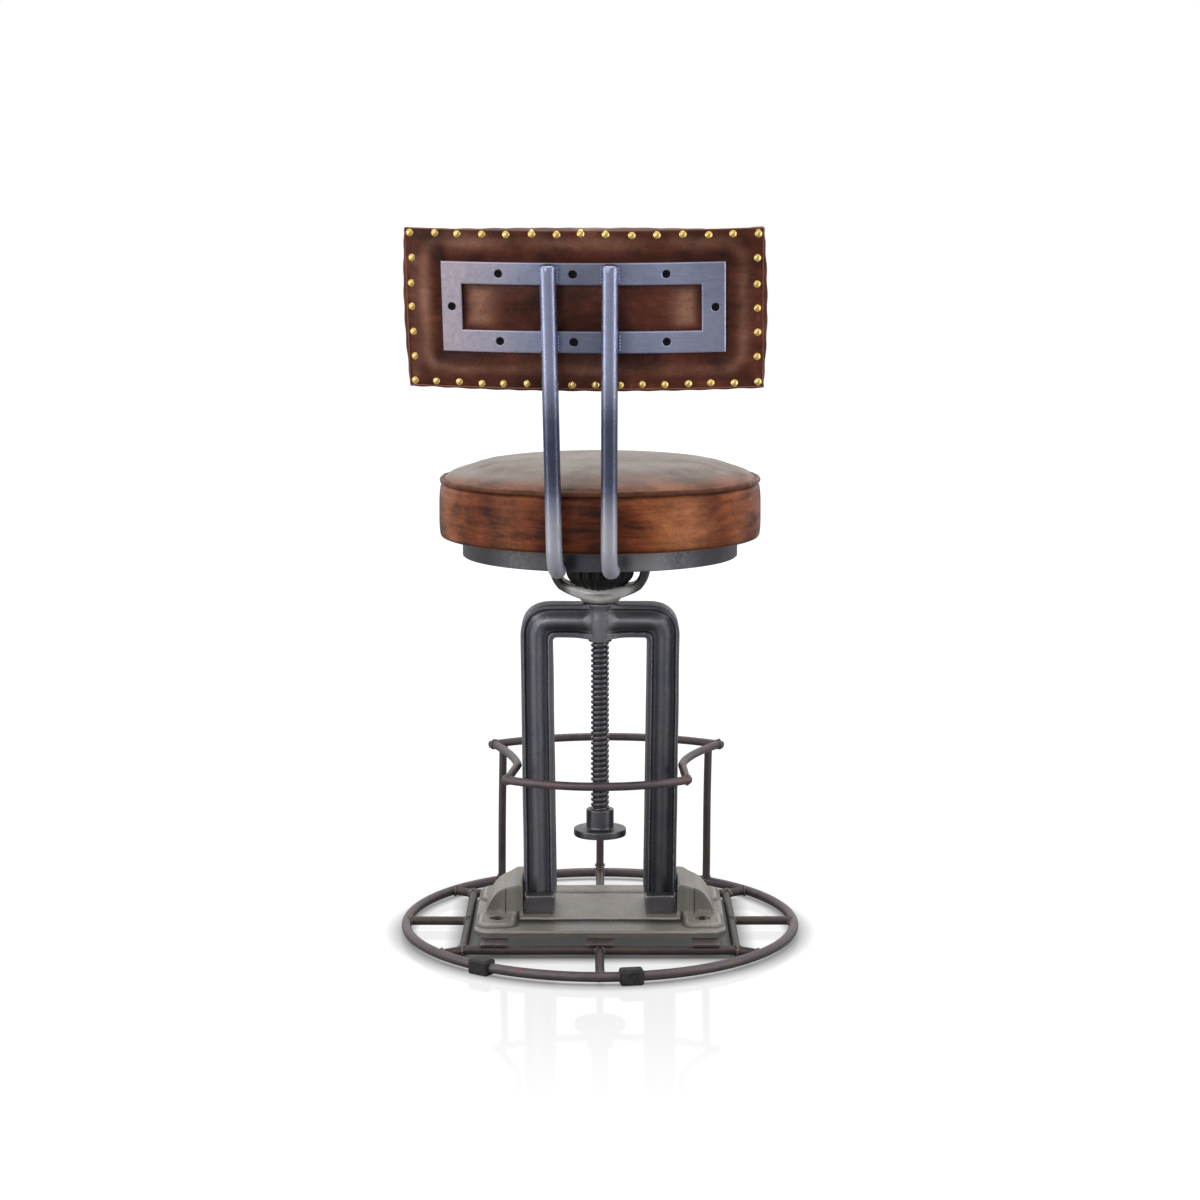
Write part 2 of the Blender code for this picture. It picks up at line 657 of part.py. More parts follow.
def make_footrest(ring_cutter):
    fit = 2 * GAP
    front = bow_path(FRONT_BOW_HALF, FRONT_BOW_Y, FRONT_BOW_RISE, FRONT_BOW_OFFSET)
    rear = bow_path(REAR_BOW_HALF, REAR_BOW_Y, REAR_BOW_RISE, REAR_BOW_OFFSET)
    part("footrest_front", rod_mesh(front, FOOTREST_ROD), STAND, "rod_steel")
    part("footrest_rear", rod_mesh(rear, FOOTREST_ROD), STAND, "rod_steel")
    front_cutter = tool("footrest_front_fit", rod_mesh(front, FOOTREST_ROD + fit), STAND)
    rear_cutter = tool("footrest_rear_fit", rod_mesh(rear, FOOTREST_ROD + fit), STAND)
    for side, sign in (("left", -1), ("right", 1)):
        mesh = rod_mesh(side_bar_path(sign), FOOTREST_ROD)
        cut(part(f"footrest_side_{side}", mesh, STAND, "rod_steel"), front_cutter, rear_cutter)
    for name, foot_x in POST_FOOT_X.items():
        head_x = POST_HEAD_X[name]
        foot = Vector((foot_x, sqrt(RING_RADIUS ** 2 - foot_x ** 2), RING_Z))
        head_y = bow_y(head_x - FRONT_BOW_OFFSET, FRONT_BOW_HALF, FRONT_BOW_Y, FRONT_BOW_RISE)
        head = Vector((head_x, head_y, FOOTREST_HEIGHT - FOOTREST_ROD / 4))
        if name == "middle":
            # this one stands on top of the front spoke
            lean = (foot.y - head.y) / (head - foot).length
            foot.z += BASE_ROD / 2 + GAP + POST_ROD / 2 * lean
        post = part(f"footrest_post_{name}", rod_mesh([foot, head], POST_ROD), STAND, "rod_steel")
        cut(post, ring_cutter, front_cutter)


def thread_mesh(bottom, top):
    """A screw between two heights: a grid whose rows climb one pitch a turn, closed at its ends."""
    radii = [SCREW_CREST, SCREW_CREST, SCREW_ROOT]
    phases = [0.0, 0.55, 0.78]
    turns = int((top - bottom) / SCREW_PITCH) - 1
    rows = len(radii)
    count = turns * rows + 1
    work = bmesh.new()
    grid = []
    for i in range(SCREW_SIDES):
        turn = i / SCREW_SIDES
        column = []
        for j in range(count):
            plain = j < rows or j >= count - rows
            radius = SCREW_ROOT if plain else radii[j % rows]
            height = bottom + SCREW_PITCH * (j // rows + phases[j % rows] + turn)
            column.append(work.verts.new((radius * cos(2 * pi * turn), radius * sin(2 * pi * turn), height)))
        grid.append(column)
    for i in range(SCREW_SIDES):
        last = i == SCREW_SIDES - 1
        here = grid[i]
        there = grid[0][rows:] if last else grid[i + 1]
        for j in range(min(len(here), len(there)) - 1):
            work.faces.new((here[j], there[j], there[j + 1], here[j + 1]))
    close_spiral(work, [column[0] for column in grid] + grid[0][rows:0:-1], bottom)
    close_spiral(work, [column[-1] for column in grid[1:]] + grid[-1][-1 - rows:-1][::-1] + [grid[0][-1]], top)
    bmesh.ops.recalc_face_normals(work, faces=work.faces)
    return finished(work, "thread")


def close_spiral(work, rim, height):
    centre = work.verts.new((0, 0, height))
    for here, there in zip(rim, rim[1:] + rim[:1]):
        work.faces.new((centre, here, there))


def make_screw_and_pad():
    """The lifting screw turns with the seat; the pad hangs on its lower end."""
    socket_z = PAD_TOP - PAD_HUB_HEIGHT - PAD_FLANGE_HEIGHT + PAD_FLOOR
    part("lift_screw", thread_mesh(socket_z + GAP, YOKE_FLOOR_Z - GAP), SEAT, "cast_iron")
    hub = PAD_HUB / 2
    flange = PAD_FLANGE / 2
    flange_top = PAD_TOP - PAD_HUB_HEIGHT
    socket = SCREW_CREST + SCREW_PLAY
    profile = [
        (0, socket_z),
        (socket, socket_z),
        (socket, PAD_TOP),
        (hub - PAD_CHAMFER, PAD_TOP),
        (hub, PAD_TOP - PAD_CHAMFER),
        (hub, flange_top),
        (flange, flange_top),
        (flange, flange_top - PAD_FLANGE_HEIGHT),
        (0, flange_top - PAD_FLANGE_HEIGHT),
    ]
    turned(part("swivel_pad", profile_mesh("swivel_pad", profile), SLIDER, "cast_iron"), 32)


def yoke_outline():
    """The yoke seen from the front, (x, z), right half then left half."""
    inside = YOKE_HALF - YOKE_WALL
    neck = YOKE_NECK * 0.9
    outer = arc((YOKE_HALF - YOKE_BEND_OUT, YOKE_Z + YOKE_FLOOR / 2 + YOKE_BEND_OUT), YOKE_BEND_OUT, -pi / 2, 0, 6)
    inner = arc((inside - YOKE_BEND_IN, YOKE_FLOOR_Z + YOKE_BEND_IN), YOKE_BEND_IN, 0, -pi / 2, 6)
    right = [(neck, YOKE_Z + YOKE_FLOOR / 4), *outer, (YOKE_HALF, YOKE_TOP), (inside, YOKE_TOP), *inner]
    return right + [(-x, z) for x, z in reversed(right)]


def make_yoke_and_pan():
    stand_up = Matrix.Rotation(pi / 2, 4, "X") @ at(z=-YOKE_DEPTH / 2)
    yoke = part("seat_yoke", slab_mesh(yoke_outline(), YOKE_DEPTH), SEAT, "cast_iron", stand_up)
    boss = [
        (0, YOKE_FLOOR_Z - GAP),
        (YOKE_NECK * 0.8, YOKE_FLOOR_Z - GAP),
        (YOKE_COLLAR, YOKE_Z + YOKE_FLOOR * 0.35),
        (YOKE_NECK, YOKE_Z),
        (0, YOKE_Z),
    ]
    unite(yoke, turned(tool("yoke_boss", profile_mesh("yoke_boss", boss), SEAT), 32))
    bore = cylinder_mesh(2 * (SCREW_CREST + SCREW_PLAY), 2 * YOKE_FLOOR, 24)
    cut(yoke, tool("yoke_bore", bore, SEAT, at(z=YOKE_FLOOR_Z - 1.5 * YOKE_FLOOR)))

    hub_z = YOKE_FLOOR_Z + GAP
    hub_top = PAN_Z - GAP
    part("ribbed_hub", ribbed_hub_mesh(hub_z, hub_top), SEAT, "black_iron")

    wall_inside = HOOP_RADIUS - HOOP_WALL
    pan = cylinder_mesh(2 * (wall_inside - GAP), PAN_THICK, 56)
    part("seat_pan", pan, SEAT, "brushed_steel", at(z=PAN_Z))
    hoop = [
        (wall_inside, HOOP_Z),
        (wall_inside, HOOP_TOP),
        (HOOP_RADIUS, HOOP_TOP),
        (HOOP_RADIUS, HOOP_Z),
        (wall_inside, HOOP_Z),
    ]
    turned(part("seat_hoop", profile_mesh("seat_hoop", hoop), SEAT, "brushed_steel"), 56)


def ribbed_hub_mesh(bottom, top):
    """A cup that widens to its rim, then stands straight, with ribs all round."""
    rim_z = bottom + HUB_RIM_HEIGHT
    work = bmesh.new()
    bmesh.ops.create_cone(work, cap_ends=True, segments=2 * HUB_RIBS, radius1=HUB_FOOT, radius2=HUB_RIM,
                          depth=rim_z - bottom)
    bmesh.ops.translate(work, verts=work.verts, vec=(0, 0, (bottom + rim_z) / 2))
    lid = max(work.faces, key=lambda face: face.calc_center_median().z)
    raised = bmesh.ops.extrude_face_region(work, geom=[lid])["geom"]
    bmesh.ops.delete(work, geom=[lid], context="FACES_ONLY")
    corners = [v for v in raised if isinstance(v, bmesh.types.BMVert)]
    bmesh.ops.translate(work, verts=corners, vec=(0, 0, top - rim_z))
    for vert in work.verts:
        step = round(atan2(vert.co.y, vert.co.x) / (pi / HUB_RIBS))
        if step % 2:
            radius = vert.co.xy.length
            vert.co.xy *= (radius - HUB_RIB_DEPTH) / radius
    return finished(work, "ribbed_hub")


def make_seat():
    board = cylinder_mesh(2 * SEAT_BOARD_RADIUS, BOARD_THICK, 48)
    part("seat_board", board, SEAT, "plywood", at(z=BOARD_Z))
    pocket = SEAT_BOARD_RADIUS + GAP
    ceiling = BOARD_Z + BOARD_THICK + GAP
    crown = [(CUSHION_SEAM * sin(a), SEAM_Z + CUSHION_CROWN * cos(a) ** 0.8)
             for a in [pi / 2 * i / CROWN_STEPS for i in range(CROWN_STEPS)]]
    side = [
        (CUSHION_SEAM, SEAM_Z),
        (CUSHION_SEAM + (CUSHION_RADIUS - CUSHION_SEAM) * 0.8, SEAM_Z - CUSHION_SIDE * 0.15),
        (CUSHION_RADIUS, SEAM_Z - CUSHION_SIDE * 0.5),
        (CUSHION_RADIUS, SEAM_Z - CUSHION_SIDE * 0.75),
        (CUSHION_HEM, CUSHION_Z),
        (pocket, CUSHION_Z),
        (pocket, ceiling),
        (0, ceiling),
    ]
    profile = profile_mesh("seat_cushion", crown + side)
    turned(part("seat_cushion", profile, SEAT, "seat_leather"), 48)


def upright_line(z):
    """How far the leaning part of an upright is from the axis at height z."""
    turn = pi / 2 - UPRIGHT_LEAN
    foot = HOOP_RADIUS + UPRIGHT_STUB + UPRIGHT_BEND * sin(turn)
    foot_z = UPRIGHT_Z + UPRIGHT_BEND * (1 - cos(turn))
    return foot + (z - foot_z) * tan(UPRIGHT_LEAN)


def upright_path(sign):
    turn = pi / 2 - UPRIGHT_LEAN
    bend_start = HOOP_RADIUS + UPRIGHT_STUB
    bend = arc((bend_start, UPRIGHT_Z + UPRIGHT_BEND), UPRIGHT_BEND, -pi / 2, -pi / 2 + turn, 7)
    top = BACK_Z + (FRAME_UP + FRAME_HEIGHT / 2) * cos(UPRIGHT_LEAN)
    run = [(HOOP_RADIUS - HOOP_WALL / 2, UPRIGHT_Z), *bend, (upright_line(top), top)]
    rise = top - UPRIGHT_Z
    points = []
    for out, z in run:
        share = (z - UPRIGHT_Z) / rise
        half = UPRIGHT_HALF_FOOT + (UPRIGHT_HALF_TOP - UPRIGHT_HALF_FOOT) * share
        points.append((UPRIGHT_FOOT_SHIFT * (1 - share) + sign * half, -out, z))
    return points


def make_uprights():
    core = cylinder_mesh(2 * (HOOP_RADIUS + GAP), 2 * HOOP_HEIGHT, 56)
    core_cutter = tool("hoop_fit", core, SEAT, at(z=HOOP_Z - HOOP_HEIGHT / 2))
    for side, sign in (("left", -1), ("right", 1)):
        mesh = rod_mesh(upright_path(sign), UPRIGHT_ROD, roundness=4)
        upright = part(f"back_upright_{side}", mesh, SEAT, "brushed_steel")
        cut(upright, core_cutter)


def on_back(s, h, n):
    """A point of the back: s round its curve, h up it, n forward of the frame's rear face."""
    nearest = UPRIGHT_HALF_FOOT - abs(BACK_SHIFT)
    sag = BACK_CURVE - sqrt(BACK_CURVE ** 2 - nearest ** 2)
    rear = UPRIGHT_ROD / 2 + GAP - sag
    angle = s / BACK_CURVE
    reach = BACK_CURVE - n
    return Vector((reach * sin(angle), rear + BACK_CURVE - reach * cos(angle), h))


def sheet_mesh(width, height, near, far, columns=12, up=0.0, aside=0.0):
    """A sheet bent to the back's curve, between two depths, its middle moved aside and up."""
    def place(x, y, z):
        return on_back(aside + (x - 0.5) * width, up + (z - 0.5) * height, near + (far - near) * y)
    return block_mesh((columns, 1, 1), place)


def cushion_place(x, y, z):
    """The back cushion: crowned in front, rounded at its front edge, sides drawn in."""
    across = 2 * x - 1
    up = 2 * z - 1
    rounding = PAD_ROUND * y ** 3
    half_width = BACK_WIDTH / 2 - PAD_DRAW * (1 - up ** 2) - rounding
    half_height = BACK_HEIGHT / 2 - PAD_DRAW * (1 - across ** 2) - rounding
    edge = PAD_END + (PAD_MIDDLE - PAD_END) * (1 - across ** 2)
    thick = edge + PAD_CROWN * (1 - across ** 4) * (1 - up ** 4)
    return on_back(across * half_width, up * half_height, CUSHION_N + thick * y)


def back_screw_places():
    heights = (FRAME_UP + SCREW_ROW, FRAME_UP - SCREW_ROW)
    rows = [(s, h) for h in heights for s in (-SCREW_COLUMN, SCREW_MIDDLE, SCREW_COLUMN)]
    names = ["top_left", "top_middle", "top_right", "bottom_left", "bottom_middle", "bottom_right"]
    places = dict(zip(names, rows))
    places["left"] = (-SCREW_SIDE, FRAME_UP)
    places["right"] = (SCREW_SIDE, FRAME_UP)
    return places


def screw_matrix(s, h, n):
    """Stands a screw's Z axis along the back's forward normal."""
    return Matrix.Translation(on_back(s, h, n)) @ Matrix.Rotation(s / BACK_CURVE, 4, "Z") @ Matrix.Rotation(-pi / 2, 4, "X")


def make_back():
    frame_mesh = sheet_mesh(FRAME_WIDTH, FRAME_HEIGHT, 0, FRAME_THICK, up=FRAME_UP)
    frame = part("back_frame", frame_mesh, BACK, "brushed_steel")
    window_size = (FRAME_WIDTH - 2 * FRAME_BAR, FRAME_HEIGHT - 2 * FRAME_BAR)
    window = sheet_mesh(*window_size, -FRAME_THICK, 2 * FRAME_THICK, up=FRAME_UP, aside=WINDOW_SHIFT)
    cut(frame, tool("back_window", window, BACK))

    cover_mesh = sheet_mesh(BACK_WIDTH - 2 * PAD_DRAW, BACK_HEIGHT - 2 * PAD_DRAW, COVER_N, COVER_N + COVER_THICK, 16)
    cover = part("back_cover", cover_mesh, BACK, "back_leather")
    board_width = BACK_WIDTH - 2 * BACK_BOARD_MARGIN
    board_height = BACK_HEIGHT - 2 * BACK_BOARD_MARGIN
    board_front = BOARD_N + BACK_BOARD_THICK
    board = part("back_board", sheet_mesh(board_width, board_height, BOARD_N, board_front, 16), BACK, "plywood")
    cushion = part("back_cushion", block_mesh((16, 3, 8), cushion_place), BACK, "back_leather")
    pocket = sheet_mesh(board_width + 2 * GAP, board_height + 2 * GAP, BOARD_N - BACK_BOARD_THICK, board_front + GAP, 16)
    cut(cushion, tool("back_pocket", pocket, BACK))

    head = SCREW_HEAD / 2
    shank = SCREW_SHANK / 2
    profile = [
        (0, SCREW_LENGTH),
        (shank, SCREW_LENGTH),
        (shank, SCREW_HEAD_HEIGHT),
        (head, SCREW_HEAD_HEIGHT),
        (head, 0),
        (0, 0),
    ]
    mesh = profile_mesh("back_screw", profile)
    frame_hole = cylinder_mesh(SCREW_HEAD + 2 * GAP, 2 * FRAME_THICK, 12)
    pilot_hole = cylinder_mesh(SCREW_SHANK + 2 * GAP, SCREW_LENGTH, 10)
    for name, (s, h) in back_screw_places().items():
        turned(part(f"back_screw_{name}", mesh, BACK, "dark_screw", screw_matrix(s, h, SCREW_HEAD_SUNK)), 10)
        cut(frame, tool(f"frame_hole_{name}", frame_hole, BACK, screw_matrix(s, h, -FRAME_THICK / 2)))
        pilot = tool(f"pilot_hole_{name}", pilot_hole, BACK, screw_matrix(s, h, SCREW_HEAD_SUNK + GAP))
        cut(cover, pilot)
        cut(board, pilot)


clear_scene()
PARTS = new_collection("screw_lift_chair")
CUTTERS = new_collection("screw_lift_chair_cutters")
MATERIALS = {look: new_material(look) for look in LOOKS}
STAND = new_empty("stand_axis", location=(0, AXIS_Y, 0))
SLIDER = new_empty("lift_axis", STAND)
SEAT = new_empty("turn_axis", SLIDER, rotation=(0, 0, SEAT_TURN))
BACK = new_empty("back_middle", SEAT, (BACK_SHIFT, -upright_line(BACK_Z), BACK_Z), (UPRIGHT_LEAN, 0, 0))
bpy.context.view_layer.update()

ring_fit = make_base()
make_glides(ring_fit)
make_tabs()
make_tie_plate()
make_clamp_frame()
make_footrest(ring_fit)
make_screw_and_pad()
make_yoke_and_pan()
make_seat()
make_uprights()
make_back()
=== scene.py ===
# %% [markdown]
# # A swivel chair that is raised by a screw
# This lesson dresses a measured model of a workshop chair: a hoop of rod on the floor, a cast clamp whose
# arch holds a threaded screw, and on the screw a round leather seat with a padded back. The measured
# model is loaded first and never changes. Each later step puts a finished piece where one of its plain
# solids is, and ties it to the same moving body, so the chair still turns and rises.

import bmesh
import bpy
import numpy as np
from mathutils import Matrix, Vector


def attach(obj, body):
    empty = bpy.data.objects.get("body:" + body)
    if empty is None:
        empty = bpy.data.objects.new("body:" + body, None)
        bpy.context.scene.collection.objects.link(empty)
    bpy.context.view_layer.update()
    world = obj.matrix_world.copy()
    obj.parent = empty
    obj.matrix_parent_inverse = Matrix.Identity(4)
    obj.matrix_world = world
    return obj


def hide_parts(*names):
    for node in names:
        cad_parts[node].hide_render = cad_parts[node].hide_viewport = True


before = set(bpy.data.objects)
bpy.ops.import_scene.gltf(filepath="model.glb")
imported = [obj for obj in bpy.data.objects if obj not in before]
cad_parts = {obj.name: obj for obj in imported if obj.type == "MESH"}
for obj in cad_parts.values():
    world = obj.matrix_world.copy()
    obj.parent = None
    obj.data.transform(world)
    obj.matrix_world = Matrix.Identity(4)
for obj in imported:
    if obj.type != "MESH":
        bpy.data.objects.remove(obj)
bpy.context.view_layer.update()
scene = bpy.context.scene

# %% [markdown]
# The chair is seen from behind, a little above the middle of the seat, from far away. A long lens keeps
# the hoop's ellipse flat, as in a catalogue picture. The numbers come from fitting the floor hoop and the
# seat.

# %% Camera
lens = bpy.data.cameras.new("camera")
lens.lens = 76.9
lens.sensor_width = 36
camera = bpy.data.objects.new("camera", lens)
camera.location = (0, -2.875, 0.812)
camera.rotation_euler = (np.radians(81.59), 0, 0)
scene.collection.objects.link(camera)
scene.camera = camera
print("camera at", tuple(camera.location))

# %% [markdown]
# Materials and the studio are node trees. Adding nodes one by one takes many lines, so a small helper
# adds one node, sets its options and fills its inputs with values or links. The others below are short
# names for the nodes used most, and with them each material reads like a recipe.

# %% Node tools
def node(tree, kind, inputs=None, **options):
    """Adds a shader node, sets its options, and fills inputs by name or number with values or links."""
    made = tree.nodes.new("ShaderNode" + kind)
    for name, value in options.items():
        setattr(made, name, value)
    for name, value in (inputs or {}).items():
        if isinstance(value, bpy.types.NodeSocket):
            tree.links.new(value, made.inputs[name])
        else:
            made.inputs[name].default_value = value
    return made


def mixed(tree, share, first, second, way="MIX"):
    """Colour that goes from the first to the second as the share goes from 0 to 1."""
    return node(tree, "Mix", {0: share, 6: first, 7: second}, data_type="RGBA", blend_type=way).outputs[2]


def math(tree, way, first, second, clamp=False):
    """One sum with two values, held between 0 and 1 if clamped."""
    return node(tree, "Math", {0: first, 1: second}, operation=way, use_clamp=clamp).outputs[0]


def plus(tree, first, second, clamp=False):
    """The first value and the second."""
    return math(tree, "ADD", first, second, clamp)


def times(tree, first, second, clamp=False):
    """The first value times the second."""
    return math(tree, "MULTIPLY", first, second, clamp)


def vectors(tree, way, first, second=(0, 0, 0)):
    """The node for one sum with two vectors."""
    return node(tree, "VectorMath", {0: first, 1: second}, operation=way)


def ranged(tree, value, low, high, start=0.0, end=1.0):
    """Stretches low..high to start..end and holds it there."""
    inputs = {"Value": value, "From Min": low, "From Max": high, "To Min": start, "To Max": end}
    return node(tree, "MapRange", inputs).outputs[0]


def tone(red, green, blue):
    """A colour as a screen shows it, 0 to 255, as the linear values that shaders use."""
    share = np.array([red, green, blue]) / 255
    linear = np.where(share <= 0.04045, share / 12.92, ((share + 0.055) / 1.055) ** 2.4)
    return (*linear.tolist(), 1.0)


def own_place(tree):
    """Where a point is on its own object, in metres."""
    return node(tree, "TexCoord").outputs["Object"]


def painted(tree, name):
    """A value that was written on the vertices under this name."""
    return node(tree, "Attribute", attribute_name=name).outputs["Fac"]


def cloudy(tree, place, scale, detail=2.0, rough=0.5, warp=0.0):
    """Cloudy noise with about scale lumps to the metre."""
    inputs = {"Vector": place, "Scale": scale, "Detail": detail, "Roughness": rough, "Distortion": warp}
    return node(tree, "TexNoise", inputs).outputs[0]


def drawn_out(tree, place, scale):
    """The place stretched by a different factor along each axis."""
    return node(tree, "Mapping", {"Vector": place, "Scale": scale}).outputs[0]


print("node tools ready")

# %% [markdown]
# The studio is a white sweep behind the chair, with a tall strip of light on each side, a soft box near
# the camera and one overhead. The camera sees white everywhere. Mirror rays see the same white behind the
# chair, and the dimmer room beside and behind the camera, which is what draws the light and dark lines
# down a steel tube.

# %% Light
def ray_kinds(tree):
    """Two values, 0 or 1: whether a ray comes from the camera, and whether it was mirrored or refracted."""
    path = node(tree, "LightPath")
    mirrored = plus(tree, path.outputs["Is Glossy Ray"], path.outputs["Is Transmission Ray"], clamp=True)
    return path.outputs["Is Camera Ray"], mirrored


def lamp(name, place, aim, width, height, radiance):
    """A soft box of the given brightness; a lamp's power is pi times its area times its radiance."""
    data = bpy.data.lights.new(name, "AREA")
    data.shape = "RECTANGLE"
    data.size = width
    data.size_y = height
    data.energy = radiance * np.pi * width * height
    box = bpy.data.objects.new(name, data)
    box.location = place
    box.rotation_euler = (Vector(aim) - Vector(place)).to_track_quat("-Z", "Y").to_euler()
    box.visible_camera = False
    scene.collection.objects.link(box)


ROOM = 0.22
scene.view_settings.view_transform = "Standard"
world = bpy.data.worlds.new("studio")
world.use_nodes = True
scene.world = world
tree = world.node_tree
tree.nodes.clear()
direct, mirrored = ray_kinds(tree)
toward = node(tree, "SeparateXYZ", {0: node(tree, "TexCoord").outputs["Generated"]})
behind = ranged(tree, toward.outputs["Y"], 0.05, 0.45, ROOM, 1.0)
above = ranged(tree, toward.outputs["Z"], 0.15, 0.7, ROOM, 0.95)
front = ranged(tree, toward.outputs["Y"], -0.35, -0.9, ROOM, 0.5)
room = math(tree, "MAXIMUM", math(tree, "MAXIMUM", behind, above), front)
level = node(tree, "Mix", {0: mirrored, 2: 0.55, 3: room}).outputs[0]
level = math(tree, "MAXIMUM", level, direct)
sky = node(tree, "Background", {"Color": (1, 1, 1, 1), "Strength": level})
tree.links.new(sky.outputs[0], node(tree, "OutputWorld").inputs["Surface"])

lamp("strip_left", (-1.02, -0.42, 0.58), (0, 0, 0.58), 0.50, 1.15, 1.7)
lamp("strip_right", (1.00, -0.46, 0.58), (0, 0, 0.58), 0.50, 1.15, 1.7)
lamp("soft_box", (-1.45, -2.65, 1.3), (0, 0, 0.5), 1.1, 1.3, 3.4)
lamp("soft_box_top", (0, 0.4, 2.7), (0, 0, 0.4), 1.8, 1.8, 2.2)
print(len(bpy.data.lights), "lamps")

# %% [markdown]
# The floor is pale, with a little polish near the chair for the faint mirror image, and it keeps the
# shadow, which is deepest under the plate and beside the rods of the base. Soft light from every side
# leaves such contact shadows too weak, so the floor's own light is also held back there: inside the
# rectangle of rails and along the hoop.

# %% Floor
AXIS_Y = 0.013
RING_RADIUS = 0.2239
RAIL_X = 0.152
RAIL_Y = 0.122
FLOOR_RADIUS = 12

white_floor = bpy.data.materials.new("white_floor")
white_floor.use_nodes = True
tree = white_floor.node_tree
tree.nodes.clear()
matt = node(tree, "BsdfDiffuse", {"Color": (0.22, 0.22, 0.22, 1)})
direct, mirrored = ray_kinds(tree)
spot = vectors(tree, "SUBTRACT", own_place(tree), (0, AXIS_Y, 0)).outputs[0]
far = vectors(tree, "LENGTH", spot).outputs["Value"]
beside = vectors(tree, "ABSOLUTE", spot).outputs[0]
beside = vectors(tree, "SUBTRACT", beside, (RAIL_X, RAIL_Y, 0)).outputs[0]
beside = vectors(tree, "MAXIMUM", beside, (0, 0, 0)).outputs[0]
beside = vectors(tree, "LENGTH", beside).outputs["Value"]
by_rails = ranged(tree, beside, 0.0, 0.026, 0.08, 1.0)
outside = ranged(tree, far, RING_RADIUS, RING_RADIUS + 0.026, 0.2, 1.0)
within = ranged(tree, far, RING_RADIUS, RING_RADIUS - 0.014, 0.2, 1.0)
shade = math(tree, "MINIMUM", by_rails, math(tree, "MAXIMUM", outside, within))
seen = times(tree, direct, ranged(tree, far, 0.4, 1.6, 0.85, 1.0))
in_mirrors = times(tree, mirrored, ranged(tree, far, 0.6, 1.3, 0.1, 0.28))
white = times(tree, plus(tree, seen, in_mirrors), shade)
glow = node(tree, "Emission", {"Strength": white})
lifted = node(tree, "AddShader", {0: matt.outputs[0], 1: glow.outputs[0]})
polish_and_sheen = node(tree, "BsdfAnisotropic", {"Color": (1, 1, 1, 1), "Roughness": 0.04})
share = times(tree, ranged(tree, far, 0.3, 0.9, 0.14, 0.0), shade)
sweep = node(tree, "MixShader", {0: share, 1: lifted.outputs[0], 2: polish_and_sheen.outputs[0]})
tree.links.new(sweep.outputs[0], node(tree, "OutputMaterial").inputs["Surface"])

turn = np.linspace(0, 2 * np.pi, 64, endpoint=False)
rim = FLOOR_RADIUS * np.stack([np.cos(turn), np.sin(turn), 0 * turn], -1)
mesh = bpy.data.meshes.new("floor")
mesh.from_pydata(rim.tolist(), [], [list(range(len(rim)))])
mesh.materials.append(white_floor)
floor = bpy.data.objects.new("floor", mesh)
scene.collection.objects.link(floor)
print("a floor", 2 * FLOOR_RADIUS, "m across")

# %% [markdown]
# Every new piece is a surface over a grid: a formula gives all points at once as a numpy array, and the
# quads between neighbours are numbered by rule. Two values are then worked out for each vertex from the
# way its edges bend: one on sharp outward edges, where hands and boots rub the finish off, which also
# paints a highlight along them, and one in hollows, for grime and also for painted shade in creases.

# %% Surface tools
def surface(points, wrap_rows=False, wrap_columns=False):
    """A grid of points, rows by columns by xyz, with the quads between them; a wrapped side joins its last
    line to its first."""
    rows, columns = points.shape[:2]
    row, column = np.meshgrid(np.arange(rows - (not wrap_rows)), np.arange(columns - (not wrap_columns)),
                              indexing="ij")
    below = (row + 1) % rows
    right = (column + 1) % columns
    quads = [row * columns + column, row * columns + right, below * columns + right, below * columns + column]
    return points.reshape(-1, 3), np.stack(quads, -1).reshape(-1, 4)


def full_turn(count):
    """Angles once round; the last one is left out, since it is the first again."""
    return np.linspace(0, 2 * np.pi, count, endpoint=False)


def polar(radius, turn, height):
    """Points round the upright axis: (r cos t, r sin t, z)."""
    return np.stack([radius * np.cos(turn), radius * np.sin(turn), height + 0 * turn], -1)


def moved(sheets, place):
    """The same surfaces with every point sent through place()."""
    return [(place(points), quads) for points, quads in sheets]


def read_all(rows, name, width, kind=np.float32):
    """One property of all rows, such as the place of every vertex, as an array with width columns."""
    values = np.empty(len(rows) * width, kind)
    rows.foreach_get(name, values)
    return values.reshape(-1, width)


def vertex_places(mesh):
    """Where the vertices are."""
    return read_all(mesh.vertices, "co", 3).astype(float)


def put_places(mesh, place):
    """Moves the vertices to new places."""
    mesh.vertices.foreach_set("co", place.astype(np.float32).ravel())
    mesh.update()


def read_value(mesh, name):
    """The value of this name on each vertex."""
    return read_all(mesh.attributes[name].data, "value", 1)[:, 0]


def write_value(mesh, name, value):
    """Writes a value from 0 to 1 on each vertex, over an older one of that name or as a new one."""
    layer = mesh.attributes.get(name) or mesh.attributes.new(name, "FLOAT", "POINT")
    layer.data.foreach_set("value", np.clip(value, 0, 1).astype(np.float32))


def raise_value(mesh, name, *values):
    """Lifts the value of this name to the largest of the given ones."""
    largest = read_value(mesh, name)
    for value in values:
        largest = np.maximum(largest, value)
    write_value(mesh, name, largest)


